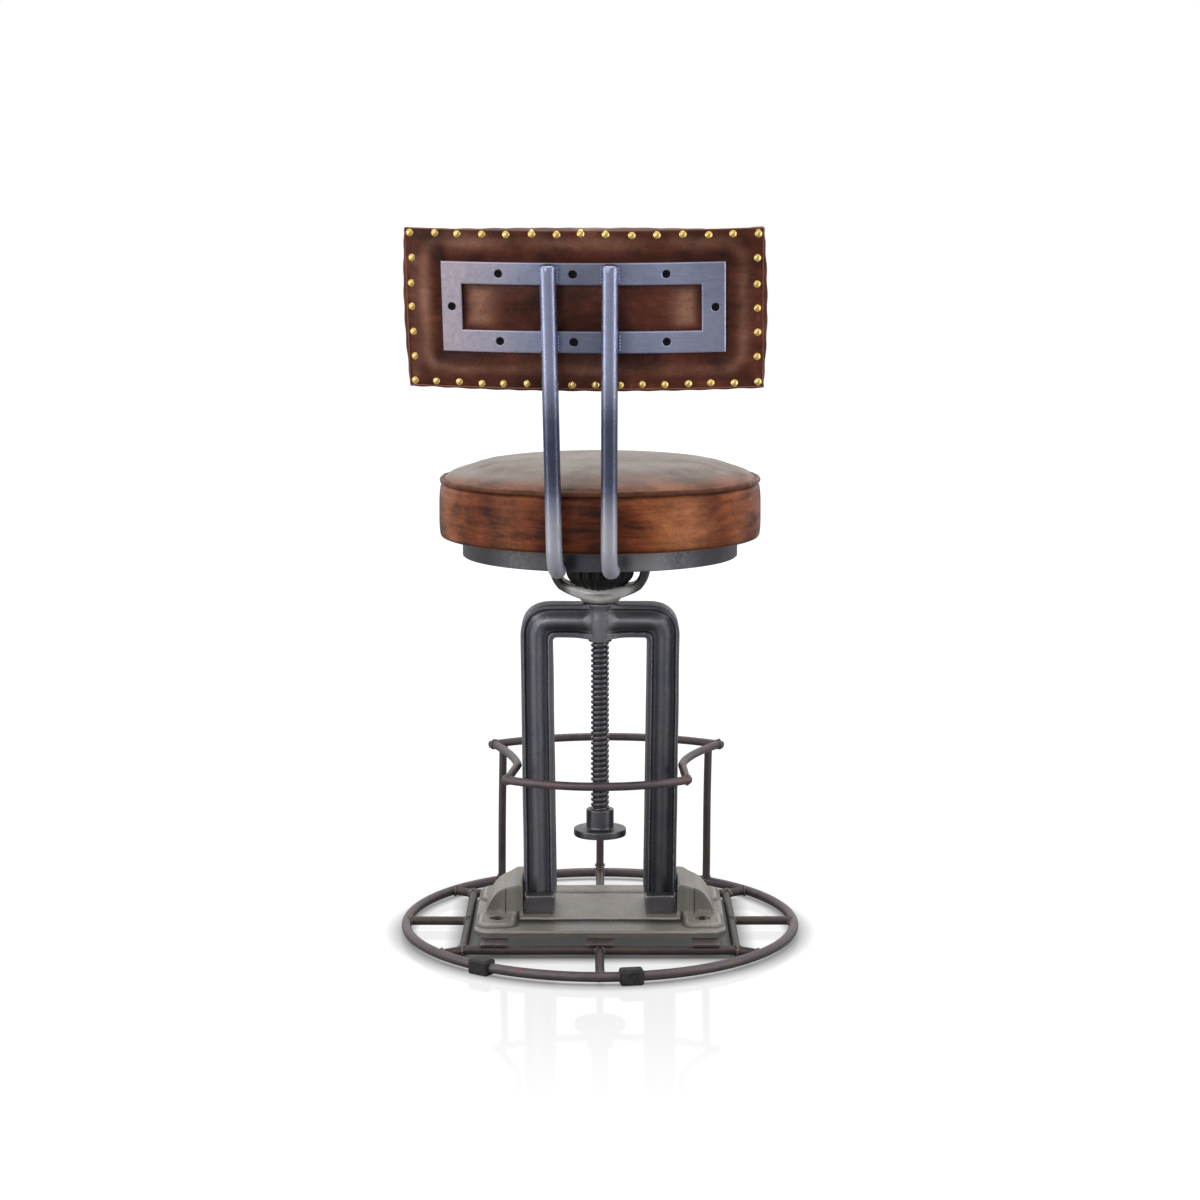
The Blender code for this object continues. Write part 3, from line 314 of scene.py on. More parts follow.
def mark_edges(mesh):
    """Writes two values on the vertices: worn edges, which also paint a highlight, and grime in hollows,
    which also paints shade in creases. The bend at a vertex is the mean over its edges of
    2 n.(p - q) / |p - q|^2, the curvature in 1/m of the edge against the normal, averaged once with the
    neighbours."""
    count = len(mesh.vertices)
    place = read_all(mesh.vertices, "co", 3)
    normal = read_all(mesh.vertices, "normal", 3)
    ends = read_all(mesh.edges, "vertices", 2, np.int32)
    first, last = ends.T
    step = place[first] - place[last]
    size = np.maximum((step ** 2).sum(1), 1e-10)
    bend, total = np.zeros(count), np.ones(count) * 1e-6
    np.add.at(bend, first, 2 * (normal[first] * step).sum(1) / size)
    np.add.at(bend, last, -2 * (normal[last] * step).sum(1) / size)
    np.add.at(total, ends.ravel(), 1)
    bend /= total
    spread = bend.copy()
    np.add.at(spread, first, bend[last])
    np.add.at(spread, last, bend[first])
    spread /= total + 1
    # Bright worn edges, also a painted highlight, and dark hollows, grime and painted shade both.
    write_value(mesh, "wear_and_sheen", (spread - 150) / 450)
    write_value(mesh, "grime_and_shade", (-spread - 30) / 250)


def closed_mesh(name, sheets):
    """Joins surfaces into one mesh, merges the doubles on their seams and poles, and turns faces outward."""
    starts = np.cumsum([0] + [len(points) for points, quads in sheets])
    points = np.concatenate([points for points, quads in sheets])
    faces = [face for (_, quads), start in zip(sheets, starts) for face in (quads + start).tolist()]
    mesh = bpy.data.meshes.new(name)
    mesh.from_pydata(points.tolist(), [], faces)
    work = bmesh.new()
    work.from_mesh(mesh)
    bmesh.ops.remove_doubles(work, verts=work.verts, dist=2e-6)
    bmesh.ops.recalc_face_normals(work, faces=work.faces)
    work.to_mesh(mesh)
    work.free()
    return mesh


def finish_piece(name, mesh, body, material, replaced=(), crease=50):
    """Shades a mesh, marks its edges, gives it its material and ties it to the body that carries it."""
    mesh.shade_smooth()
    mesh.set_sharp_from_angle(angle=np.radians(crease))
    mark_edges(mesh)
    mesh.materials.clear()
    mesh.materials.append(material)
    made = bpy.data.objects.new(name, mesh)
    scene.collection.objects.link(made)
    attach(made, body)
    if replaced:
        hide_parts(*replaced)
    print(name, len(mesh.polygons), "faces")
    return made


def piece(name, sheets, body, material, replaced=(), crease=50):
    """A finished piece from its surfaces."""
    return finish_piece(name, closed_mesh(name, sheets), body, material, replaced, crease)


print("surface tools ready")

# %% [markdown]
# All the iron on this chair has the same history: a dark scale from the forge or foundry, rubbed bright
# on its edges, with brown stains where it has been damp. One node group makes that for every casting and
# rod; each material gives it its own colours and lump size. The same group darkens painted shade and
# lightens painted highlights that pieces write on their vertices, and the bright edges are partly a painted
# highlight. Its height output roughens the surface like sand-cast skin.

# %% Iron patina
def group(name, inputs, outputs):
    """An empty node group with named sockets, and its two end nodes."""
    made = bpy.data.node_groups.new(name, "ShaderNodeTree")
    for title, kind, value in inputs:
        made.interface.new_socket(title, in_out="INPUT", socket_type=kind).default_value = value
    for title, kind in outputs:
        made.interface.new_socket(title, in_out="OUTPUT", socket_type=kind)
    return made, made.nodes.new("NodeGroupInput").outputs, made.nodes.new("NodeGroupOutput").inputs


COLOUR, VALUE = "NodeSocketColor", "NodeSocketFloat"
SKIN_OUTPUTS = [("Colour", COLOUR), ("Roughness", VALUE), ("Height", VALUE)]
tree, given, result = group(
    "iron_patina",
    [("Colour", COLOUR, (0.1, 0.1, 0.1, 1)), ("Stain", COLOUR, (0.1, 0.05, 0.02, 1)),
     ("Bare", COLOUR, (0.3, 0.3, 0.3, 1)), ("Lump", VALUE, 30.0), ("Stained", VALUE, 0.5),
     ("Worn and sheen", VALUE, 0.7), ("Dirt and shade", VALUE, 0.75), ("Gloss", VALUE, 0.45)], SKIN_OUTPUTS)
iron_patina = tree
place = own_place(tree)
lump = given["Lump"]
cloud = cloudy(tree, place, lump, 4.0, 0.6)
sand = cloudy(tree, place, times(tree, lump, 14), 3.0)
pits = node(tree, "TexVoronoi", {"Vector": place, "Scale": times(tree, lump, 9)}).outputs["Distance"]

shade = ranged(tree, cloud, 0.25, 0.75, 0.72, 1.3)
shade = node(tree, "CombineColor", {0: shade, 1: shade, 2: shade}).outputs[0]
skin = mixed(tree, 1.0, given["Colour"], shade, "MULTIPLY")
damp = ranged(tree, plus(tree, cloud, times(tree, sand, 0.35)), 0.62, 0.86)
damp = times(tree, damp, given["Stained"])
skin = mixed(tree, damp, skin, given["Stain"])
# Grime in hollows and painted shade that pieces write go towards near black.
skin = mixed(tree, times(tree, painted(tree, "grime_and_shade"), given["Dirt and shade"]), skin, (0.013, 0.011, 0.010, 1))
# Worn edges, partly painted highlight, bright patches and painted highlights that pieces write go to bare
# iron.
rub_and_sheen = times(tree, painted(tree, "wear_and_sheen"), ranged(tree, sand, 0.3, 0.62))
rub_and_sheen = plus(tree, rub_and_sheen, ranged(tree, cloud, 0.68, 0.95, 0, 0.2))
rub_and_sheen = plus(tree, rub_and_sheen, times(tree, painted(tree, "rub_and_sheen"), ranged(tree, sand, 0.3, 0.7, 0.8, 1.0)))
rub_and_sheen = times(tree, rub_and_sheen, given["Worn and sheen"], clamp=True)
tree.links.new(mixed(tree, rub_and_sheen, skin, given["Bare"]), result["Colour"])
rough = plus(tree, given["Gloss"], ranged(tree, sand, 0.3, 0.7, -0.08, 0.1))
rough = plus(tree, rough, times(tree, damp, 0.15))
tree.links.new(math(tree, "SUBTRACT", rough, times(tree, rub_and_sheen, 0.12), clamp=True), result["Roughness"])
bumps = plus(tree, times(tree, sand, 0.5), times(tree, ranged(tree, pits, 0.0, 0.35), 0.25))
tree.links.new(plus(tree, bumps, times(tree, cloud, 0.8)), result["Height"])


def new_material(name, metallic=0.0, specular=0.5):
    """A material with only a Principled shader; returns it, its tree and the shader's inputs."""
    made = bpy.data.materials.new(name)
    made.use_nodes = True
    inputs = made.node_tree.nodes["Principled BSDF"].inputs
    inputs["Metallic"].default_value = metallic
    inputs["Specular IOR Level"].default_value = specular
    return made, made.node_tree, inputs


def finish(tree, inputs, colour, rough, height, depth):
    """Sends a colour, a roughness and a height to the shader; depth is the height's scale in metres."""
    tree.links.new(colour, inputs["Base Color"])
    tree.links.new(rough, inputs["Roughness"])
    bump = node(tree, "Bump", {"Height": height, "Strength": 0.8, "Distance": depth})
    tree.links.new(bump.outputs[0], inputs["Normal"])


def iron(name, colour, stain, bare, lump=30.0, stained=0.5, worn_and_sheen=0.7, gloss=0.45, metallic=0.75,
         depth=0.0006, dirt_and_shade=0.75):
    """Iron in one finish: the patina group with this piece's colours."""
    made, tree, inputs = new_material(name, metallic)
    values = {"Colour": tone(*colour), "Stain": tone(*stain), "Bare": tone(*bare), "Lump": lump,
              "Stained": stained, "Worn and sheen": worn_and_sheen, "Dirt and shade": dirt_and_shade, "Gloss": gloss}
    patina = node(tree, "Group", values, node_tree=iron_patina).outputs
    finish(tree, inputs, patina["Colour"], patina["Roughness"], patina["Height"], depth)
    return made


rod_iron = iron("rod_iron", (103, 95, 100), (112, 86, 70), (190, 182, 180), lump=55, stained=0.55, worn_and_sheen=0.5,
                gloss=0.4, metallic=0.65)
rail_iron = iron("rail_iron", (80, 73, 74), (98, 74, 60), (166, 154, 146), lump=50, stained=0.6, worn_and_sheen=0.5,
                 metallic=0.6)
print("iron patina with", len(iron_patina.nodes), "nodes")

# %% [markdown]
# The chair stands on a hoop of 11 mm rod, braced by a rectangle of rails and eight spokes. A rod is a
# circle carried along a line: at each point of the line the circle lies across it, between the direction
# to the side and the direction up. Hand-bent rod is never quite true, so a few slow waves of a fifth of a
# millimetre move it.

# %% Rods
RING_Z = 0.0088
RING_ROD = 0.0055
RAIL_ROD = 0.005
CORNER_ANGLE = np.radians(37.7)


def unit(vectors):
    """The same directions with length 1."""
    return vectors / np.maximum(np.linalg.norm(vectors, axis=-1, keepdims=True), 1e-12)


def uneven(points, size, amount, seed=1):
    """Points moved a little, as hand work does: in each direction the mean of three waves
    amount sin(2 pi p.w / size + phase)."""
    pick = np.random.default_rng(seed)
    waves = unit(pick.normal(size=(3, 3, 3)))
    phase = pick.uniform(0, 2 * np.pi, (3, 3))
    angle = np.einsum("...k,dwk->...dw", points, waves) * 2 * np.pi / size + phase
    return points + amount * np.sin(angle).mean(-1)


def tube(path, radius, aim=(0, 0, 1), sides=14, ease=0.0012, closed=False):
    """A round rod: p + r (a cos t + b sin t), where a and b are the two directions across the path; open
    ends are closed flat with an eased edge."""
    path = np.asarray(path, float)
    radius = np.ones(len(path)) * radius
    ahead = np.roll(path, -1, 0) - np.roll(path, 1, 0) if closed else np.gradient(path, axis=0)
    ahead = unit(ahead)
    if not closed:
        inset = np.array([0, 0, 0.3, 1.0])[:, None] * ease
        slim = np.array([1e9, ease, 0.3 * ease, 0])
        path = np.concatenate([path[0] + inset * ahead[0], path[1:-1], path[-1] - inset[::-1] * ahead[-1]])
        ends = [np.maximum(radius[0] - slim, 0), radius[1:-1], np.maximum(radius[-1] - slim[::-1], 0)]
        radius = np.concatenate(ends)
        ahead = np.concatenate([ahead[:1].repeat(4, 0), ahead[1:-1], ahead[-1:].repeat(4, 0)])
    across = unit(np.cross(ahead, np.broadcast_to(np.array(aim, float), ahead.shape)))
    over = np.cross(across, ahead)
    turn = full_turn(sides)[None, :, None]
    ring = across[:, None] * np.cos(turn) + over[:, None] * np.sin(turn)
    return surface(path[:, None] + radius[:, None, None] * ring, wrap_rows=closed, wrap_columns=True)


def bar(start, end, seed, count=26):
    """A straight line of points, a little out of true."""
    share = np.linspace(0, 1, count)[:, None]
    return uneven(np.array(start) * (1 - share) + np.array(end) * share, 0.14, 0.0004, seed)


def on_stand(points):
    """From a part's own middle to the chair's axis."""
    return points + np.array([0, AXIS_Y, 0])


def on_ring(angle):
    """A point on the middle line of the floor hoop: (R cos a, R sin a) round the chair's axis."""
    return on_stand(polar(RING_RADIUS, np.asarray(angle), RING_Z))


def on_rails(a, b):
    """A corner of the rectangle of rails for a and b of -1 or 1; with a 0, the middle of a side."""
    return np.array([a * RAIL_X, AXIS_Y + b * RAIL_Y, RING_Z])


hoop_line = uneven(on_ring(full_turn(260)), 0.2, 0.0002)
hoop_rod = tube(hoop_line, RING_ROD, closed=True, sides=16)
piece("floor_hoop", [hoop_rod], "stand", rod_iron, ["base_ring"])

over = np.array([0.005, 0, 0])
rods = {
    "rail_front": (on_rails(-1, 1) - over, on_rails(1, 1) + over),
    "rail_rear": (on_rails(-1, -1) - over, on_rails(1, -1) + over),
    "rail_left": (on_rails(-1, -1), on_rails(-1, 1)),
    "rail_right": (on_rails(1, -1), on_rails(1, 1)),
    "spoke_front": (on_rails(0, 1), on_ring(np.pi / 2)),
    "spoke_rear": (on_rails(0, -1), on_ring(-np.pi / 2)),
    "spoke_left": (on_rails(-1, 0), on_ring(np.pi)),
    "spoke_right": (on_rails(1, 0), on_ring(0.0)),
    "spoke_front_left": (on_rails(-1, 1), on_ring(np.pi - CORNER_ANGLE)),
    "spoke_front_right": (on_rails(1, 1), on_ring(CORNER_ANGLE)),
    "spoke_rear_left": (on_rails(-1, -1), on_ring(np.pi + CORNER_ANGLE)),
    "spoke_rear_right": (on_rails(1, -1), on_ring(-CORNER_ANGLE)),
}
for seed, (name, (start, end)) in enumerate(rods.items()):
    piece(name + "_rod", [tube(bar(start, end, seed), RAIL_ROD)], "stand", rail_iron, [name])

# %% [markdown]
# The footrest is bent from thinner rod: a front bow, a rear bow and two side bars that swing in to touch
# the legs, on three posts. The bows are arcs of a circle, and the side bars are parabolas drawn in to the
# legs.

# %% Footrest
FOOTREST_Z = 0.190
FOOTREST_ROD = 0.00475
POST_ROD = 0.0046
LEG_X, LEG_HALF = 0.0725, 0.0185


def bow(half, end_y, rise, offset, reach, count=60):
    """An arc through its two ends with the given rise:
    y = end + sign (sqrt(R^2 - x^2) - sqrt(R^2 - half^2))."""
    radius = (half ** 2 + rise ** 2) / (2 * abs(rise))
    x = np.linspace(-reach, reach, count)
    lift = np.sqrt(radius ** 2 - x ** 2) - np.sqrt(radius ** 2 - half ** 2)
    return np.stack([offset + x, AXIS_Y + end_y + np.sign(rise) * lift, FOOTREST_Z + 0 * x], -1)


def parabola(start, pull, end, t):
    """A bend from start to end, drawn towards pull: (1-t)^2 a + 2t(1-t) c + t^2 b."""
    return start * (1 - t) ** 2 + pull * 2 * t * (1 - t) + end * t ** 2


def side_bar(sign):
    """A parabola from the front bow to the leg, then a run back to the rear bow."""
    waist = sign * (LEG_X + LEG_HALF + FOOTREST_ROD - 0.0008)
    start, pull = np.array([0.008 + sign * 0.1355, 0.135]), np.array([waist + sign * 0.0055, 0.0715])
    middle, end = np.array([waist, 0.0155]), np.array([-0.0035 + sign * 0.1010, -0.0655])
    curve = parabola(start, pull, middle, np.linspace(0, 1, 30)[:, None])
    run = middle + (end - middle) * np.linspace(0, 1, 20)[1:, None] ** 1.15
    flat = np.concatenate([curve, run])
    return np.stack([flat[:, 0], AXIS_Y + flat[:, 1], FOOTREST_Z + 0 * flat[:, 0]], -1)


front_bow = bow(0.1355, 0.135, 0.0455, 0.008, 0.1395)
rear_bow = bow(0.1010, -0.0655, -0.036, -0.0035, 0.1050)
side_bars = [side_bar(-1), side_bar(1)]
footrest = {"front": uneven(front_bow, 0.2, 0.0006, 3), "rear": uneven(rear_bow, 0.2, 0.0006, 4),
            "side_left": side_bars[0], "side_right": side_bars[1]}
for side, line in footrest.items():
    rod = tube(line, FOOTREST_ROD)
    piece(f"footrest_{side}_rod", [rod], "stand", rod_iron, [f"footrest_{side}"])

posts = {"left": (-0.1208, -0.1170), "middle": (0.0, 0.0), "right": (0.1302, 0.1307)}
post_ends = {}
for seed, (side, (foot_x, head_x)) in enumerate(posts.items()):
    foot_y = AXIS_Y + np.sqrt(RING_RADIUS ** 2 - foot_x ** 2)
    foot = np.array([foot_x, foot_y, RING_Z + 0.005 * (side == "middle")])
    head = np.array([head_x, np.interp(head_x, front_bow[:, 0], front_bow[:, 1]), FOOTREST_Z - 0.002])
    post_ends[side] = (foot, head)
    rod = tube(bar(foot, head, seed + 20), POST_ROD, aim=(0, 1, 0))
    piece(f"footrest_post_{side}_rod", [rod], "stand", rod_iron, [f"footrest_post_{side}"])

# %% [markdown]
# The rods are welded. Where one rod runs into another, the seam between them is a saddle: round the
# thinner rod, at the height of the thicker rod's surface. A bead is a lumpy tube along that saddle. Real
# beads show the small scales of a slow weld, so the tube's radius ripples.

# %% Weld beads
def weld(joint, away, along, thin, thick, bead=0.0017, seed=0, lumpy=1.0):
    """A bead round a thin rod that leaves a thick one: j + u sqrt(R^2 - (r sin t)^2) + v r cos t + w r sin t,
    with u away from the joint and v along the thick rod."""
    away = unit(np.asarray(away, float))
    along = unit(np.asarray(along, float) - np.dot(along, away) * away)
    side = np.cross(away, along)
    t = full_turn(40)[:, None]
    rise = np.sqrt(np.maximum(thick ** 2 - (thin * np.sin(t)) ** 2, 0))
    path = joint + away * rise + along * thin * np.cos(t) + side * thin * np.sin(t)
    scales = 1 + lumpy * (0.22 * np.sin(11 * t[:, 0] + seed) + 0.14 * np.sin(5 * t[:, 0] + 2 * seed))
    return tube(path, bead * scales, aim=away, sides=8, closed=True)


SIDE_WELD = 0.0047
joints = []
for name, (start, end) in rods.items():
    if name.startswith("spoke"):
        outward = unit(end - start)
        tangent = np.array([-outward[1], outward[0], 0])
        joints.append((end, -outward, tangent, RAIL_ROD, RING_ROD))
        joints.append((start, outward, tangent, RAIL_ROD, RAIL_ROD))
for a, b in [(-1, -1), (-1, 1), (1, -1), (1, 1)]:
    joints.append((on_rails(a, b), (0, -b, 0), (1, 0, 0), RAIL_ROD, RAIL_ROD))
for side, (foot, head) in post_ends.items():
    lean = unit(head - foot)
    joints.append((foot, lean, (1, 0, 0), POST_ROD, RING_ROD if side != "middle" else POST_ROD))
    joints.append((head, -lean, (1, 0, 0), POST_ROD, SIDE_WELD))
for line in side_bars:
    joints.append((line[0], line[3] - line[0], (1, 0.3, 0), SIDE_WELD, SIDE_WELD))
    joints.append((line[-1], line[-4] - line[-1], (1, -0.3, 0), SIDE_WELD, SIDE_WELD))
weld_iron = iron("weld_iron", (106, 99, 98), (112, 88, 72), (164, 154, 148), lump=160, worn_and_sheen=0.5)
beads = [weld(*joint, seed=seed) for seed, joint in enumerate(joints)]
piece("stand_welds", beads, "stand", weld_iron)

# %% [markdown]
# Six flat straps lie on the rails and carry the cast plate. A strap is a block with eased edges: a
# lattice on its six sides is pulled in to a core that is smaller by the ease, then pushed out again by
# the ease.

# %% Straps and leg feet
def box_sides(lines, place):
    """The six sides of a box as surfaces: a lattice over the lines of two axes, at both ends of the third;
    place() puts the points."""
    sheets = []
    for axis in range(3):
        first, second = [k for k in range(3) if k != axis]
        a, b = np.meshgrid(lines[first], lines[second], indexing="ij")
        for end in (lines[axis][0], lines[axis][-1]):
            lattice = [a, b]
            lattice.insert(axis, np.full(a.shape, end))
            sheets.append(surface(place(np.stack(lattice, -1))))
    return sheets


def eased_box(size, ease, middle, seed, wave, amount, cells=6):
    """A block with round edges, a little uneven: c + e (p - c) / |p - c|, with c as p held in the core."""
    half = np.array(size) / 2

    def eased(points):
        """Pulls points in to the core and out again by the ease."""
        core = np.clip(points, ease - half, half - ease)
        return uneven(core + ease * unit(points - core) + np.array(middle), wave, amount, seed)

    lines = [np.concatenate([[-h, -h + 0.35 * ease], np.linspace(ease - h, h - ease, cells),
                             [h - 0.35 * ease, h]]) for h in half]
    return box_sides(lines, eased)


TAB_Z = 0.0141
TAB_WIDTH, TAB_THICK = 0.030, 0.003
FOOT_X = 0.06875
FOOT_Z, FOOT_TALL = 0.0273, 0.0207
tab_reach = RAIL_Y + 0.005
tab_length = tab_reach - 0.090
for end, sign in (("front", 1), ("rear", -1)):
    for side, x in (("left", -0.118), ("middle", 0.0), ("right", 0.118)):
        middle = (x, AXIS_Y + sign * (tab_reach - tab_length / 2), TAB_Z + TAB_THICK / 2)
        strap = eased_box((TAB_WIDTH, tab_length, TAB_THICK), 0.0008, middle, 5, 0.05, 0.0002)
        piece(f"strap_{end}_{side}", strap, "stand", rail_iron, [f"plate_tab_{end}_{side}"])

foot_iron = iron("foot_iron", (98, 97, 103), (88, 78, 72), (192, 189, 190), lump=40, stained=0.35, worn_and_sheen=1.0,
                 gloss=0.4, metallic=0.65, depth=0.0005)
for side, x in (("left", -FOOT_X), ("right", FOOT_X)):
    middle = (x, AXIS_Y, FOOT_Z + FOOT_TALL / 2)
    block = eased_box((0.0335, 0.072, FOOT_TALL), 0.0017, middle, 6, 0.03, 0.0003, cells=10)
    piece(f"leg_foot_{side}_block", block, "stand", foot_iron, [f"leg_foot_{side}"])

# %% [markdown]
# The plate that ties the legs together is a sand casting: a raised seat between the legs, a lower border,
# four ears round the bolt holes, and a shoulder like a fin outside each leg. Most of it is a height over
# the plan, so one formula adds up the levels with soft steps.

# %% Plate form
PLATE_X, PLATE_Y, PLATE_CORNER = 0.142, 0.103, 0.020
PLATE_Z, PLATE_TOP = 0.0174, 0.0250
BOLT_X, BOLT_Y = 0.1166, 0.057


def soft_step(distance, width):
    """0 below, 1 above, with a smooth slope 3t^2 - 2t^3 over the width."""
    t = np.clip(distance / width + 0.5, 0, 1)
    return t * t * (3 - 2 * t)


def ramp(value, start, width):
    """0 up to the start, 1 after the width, and a straight slope between; a negative width runs downward."""
    return np.clip((value - start) / width, 0, 1)


def hill(distance, width):
    """A round hill, 1 where the distance is 0: exp(-(d / width)^2)."""
    return np.exp(-(distance / width) ** 2)


def box_distance(x, y, half_x, half_y, corner):
    """Distance inside a rectangle with round corners, counted from its edge; negative outside."""
    away_x, away_y = np.abs(x) - half_x + corner, np.abs(y) - half_y + corner
    outside = np.hypot(np.maximum(away_x, 0), np.maximum(away_y, 0))
    return corner - outside - np.minimum(np.maximum(away_x, away_y), 0)


def seat_distance(x, y):
    """Distance inside the plate's raised seat."""
    return box_distance(x, y, 0.092, 0.054, 0.002)


def ear_distance(x, y):
    """Distance inside the nearest ear."""
    return box_distance(np.abs(x) - BOLT_X, np.abs(y) - BOLT_Y, 0.021, 0.029, 0.012)


def plate_height(x, y):
    """Border, raised seat, ears with a lip, and an eased rim, added up, with slow waves."""
    edge = box_distance(x, y, PLATE_X, PLATE_Y, PLATE_CORNER)
    level = PLATE_TOP - 0.0022 * (1 - ramp(edge, 0, 0.0024)) ** 2
    level = level + 0.0022 * soft_step(seat_distance(x, y), 0.0016)
    ear = ear_distance(x, y)
    lip = 0.0008 * hill(ear - 0.0028, 0.0016)
    level = level + (0.003 * soft_step(ear, 0.0034) + lip) * (ear > -0.003)
    return level + 0.0002 * np.sin(140 * x + 60 * y) * np.sin(90 * y - 50 * x)


def round_edge(grid):
    """The points along the four sides of a grid, in order."""
    return np.concatenate([grid[:-1, 0], grid[-1, :-1], grid[:0:-1, -1], grid[0, :0:-1]])


x, y = np.meshgrid(np.linspace(-PLATE_X, PLATE_X, 230), np.linspace(-PLATE_Y, PLATE_Y, 180), indexing="ij")
inner_x, inner_y = PLATE_X - PLATE_CORNER, PLATE_Y - PLATE_CORNER
core = np.stack([np.clip(x, -inner_x, inner_x), np.clip(y, -inner_y, inner_y)], -1)
away = np.stack([x, y], -1) - core
flat = core + unit(away) * np.abs(away).max(-1, keepdims=True)
top = np.concatenate([flat, plate_height(flat[..., 0], flat[..., 1])[..., None]], -1)
under = np.concatenate([flat, np.full(x.shape + (1,), PLATE_Z)], -1)
share = np.linspace(0, 1, 4)[:, None, None]
skirt = round_edge(top) * (1 - share) + round_edge(under) * share
plate_mesh = closed_mesh("plate", [surface(top), surface(under), surface(skirt, wrap_columns=True)])
print("plate", len(plate_mesh.polygons), "faces")

# %% [markdown]
# Many parts are turned: a profile carried round an axis. A profile is a line through a few corners, each
# eased by a parabola. Turned shapes also serve as drills: a Boolean takes them away from the plate for
# the four bolt holes.

# %% Turning and drilling
def turned(profile, sides=64, closed=False):
    """A profile of (radius, height) carried round the upright axis: (r cos t, r sin t, z)."""
    profile = np.asarray(profile, float)
    points = polar(profile[:, :1], full_turn(sides), profile[:, 1:])
    return surface(points, wrap_rows=closed, wrap_columns=True)


def rounded(corners, steps=6):
    """A line through corners (x, y, ease), each corner replaced by the parabola that starts and ends its ease
    away along the two sides."""
    corners = np.array(corners, float)
    spot, ease = corners[:, :2], corners[:, 2:]
    before = spot + ease * unit(np.roll(spot, 1, 0) - spot)
    after = spot + ease * unit(np.roll(spot, -1, 0) - spot)
    t = np.linspace(0, 1, steps)[None, :, None]
    line = parabola(before[:, None], spot[:, None], after[:, None], t).reshape(-1, 2)
    keep = np.append(True, np.linalg.norm(np.diff(line, axis=0), axis=1) > 1e-7)
    return line[keep]


def resampled(line, count):
    """The same line with points at even distances along it."""
    far = np.append(0, np.cumsum(np.linalg.norm(np.diff(line, axis=0), axis=1)))
    want = np.linspace(0, far[-1], count)
    return np.stack([np.interp(want, far, line[:, k]) for k in range(line.shape[1])], -1)


def bored(mesh, cutters):
    """The mesh after a Boolean takes the cutters away, as triangles to be joined with other surfaces."""
    solid = bpy.data.objects.new("solid", mesh)
    drill = bpy.data.objects.new("drill", closed_mesh("drill", cutters))
    scene.collection.objects.link(solid)
    scene.collection.objects.link(drill)
    cut = solid.modifiers.new("cut", "BOOLEAN")
    cut.operation = "DIFFERENCE"
    cut.solver = "EXACT"
    cut.object = drill
    result = bpy.data.meshes.new_from_object(solid.evaluated_get(bpy.context.evaluated_depsgraph_get()))
    bpy.data.objects.remove(solid)
    bpy.data.objects.remove(drill)
    result.calc_loop_triangles()
    return vertex_places(result), read_all(result.loop_triangles, "vertices", 3, np.int32)


DRILL = [(0, 0.010), (0.0088, 0.010), (0.0088, 0.0272), (0.0088, 0.035), (0, 0.035)]
points, quads = turned(DRILL, 28)
holes = [(points + np.array([a * BOLT_X, b * BOLT_Y, 0]), quads) for a in (-1, 1) for b in (-1, 1)]
plate_sheet = bored(plate_mesh, holes)
print("plate drilled:", len(plate_sheet[1]), "triangles")

# %% [markdown]
# A shoulder is a row of slices across the plate. After the casting is joined, painted shade is written at
# the foot of the raised seat's step, round the ears, on the walls and in the holes, and the rims of the
# seat and the ears are painted lighter as a highlight.

# %% Tie plate
SHOULDER_Z = 0.0220
SHOULDER_CORNERS = [
    (0.0878, SHOULDER_Z, 0), (0.0885, 0.0632, 0.0022), (0.0965, 0.0632, 0.0045), (0.1045, 0.0590, 0.0045),
    (0.1150, 0.0560, 0.008), (0.1265, 0.0420, 0.009), (0.1312, 0.0290, 0.005), (0.1335, SHOULDER_Z, 0)]


def soft_least(first, second, width):
    """The lesser of two values, with a smooth change over: -w log(exp(-a / w) + exp(-b / w))."""
    return -width * np.log(np.exp(-first / width) + np.exp(-second / width))


def shoulder(sign):
    """A fin outside a leg. Each slice x = const is a block up to the profile's height z(x) and out to y(x) on
    both sides: 42 mm, or beside the bolt, where a pocket of 23 mm round the bolt's axis is left free."""
    x, z = resampled(rounded(SHOULDER_CORNERS, 9), 90).T
    pocket = BOLT_Y - np.sqrt(np.maximum(0.0228 ** 2 - (x - BOLT_X) ** 2, 0))
    reach = soft_least(0.042, pocket, 0.0022)
    ease = np.minimum(0.0012, 0.3 * (z - SHOULDER_Z))
    wall = np.linspace(0, 1, 12)[:-1]
    level = SHOULDER_Z + (z - ease - SHOULDER_Z)[:, None] * wall
    level = np.concatenate([level, np.stack([z - ease, z - 0.3 * ease], -1)], 1)
    side = np.concatenate([reach[:, None] + 0 * level[:, :-1], (reach - 0.3 * ease)[:, None]], 1)
    across = (reach - ease)[:, None] * np.linspace(1, -1, 40)
    y = np.concatenate([side, across, -side[:, ::-1]], 1)
    top = np.concatenate([level, z[:, None] + 0 * across, level[:, ::-1]], 1)
    upper = np.stack([sign * x[:, None] + 0 * y, y, top], -1)
    lower = upper[:, ::-1][:, 1:-1] * np.array([1, 1, 0]) + np.array([0, 0, SHOULDER_Z])
    return surface(np.concatenate([upper, lower], 1), wrap_columns=True)


plate_iron = iron("plate_iron", (160, 155, 148), (134, 118, 104), (208, 200, 190),
                  lump=26, worn_and_sheen=0.8, gloss=0.44, metallic=0.5, dirt_and_shade=0.92)
sheets = moved([plate_sheet, shoulder(-1), shoulder(1)], on_stand)
plate = piece("tie_plate_casting", sheets, "stand", plate_iron, ["tie_plate"], crease=35).data

x, y, z = (vertex_places(plate) - np.array([0, AXIS_Y, 0])).T
steep = np.abs(read_all(plate.vertices, "normal", 3)[:, 2]) < 0.35
seat_edge, ear_edge = seat_distance(x, y), ear_distance(x, y)
low = (z < 0.0300) & (z > 0.0235)
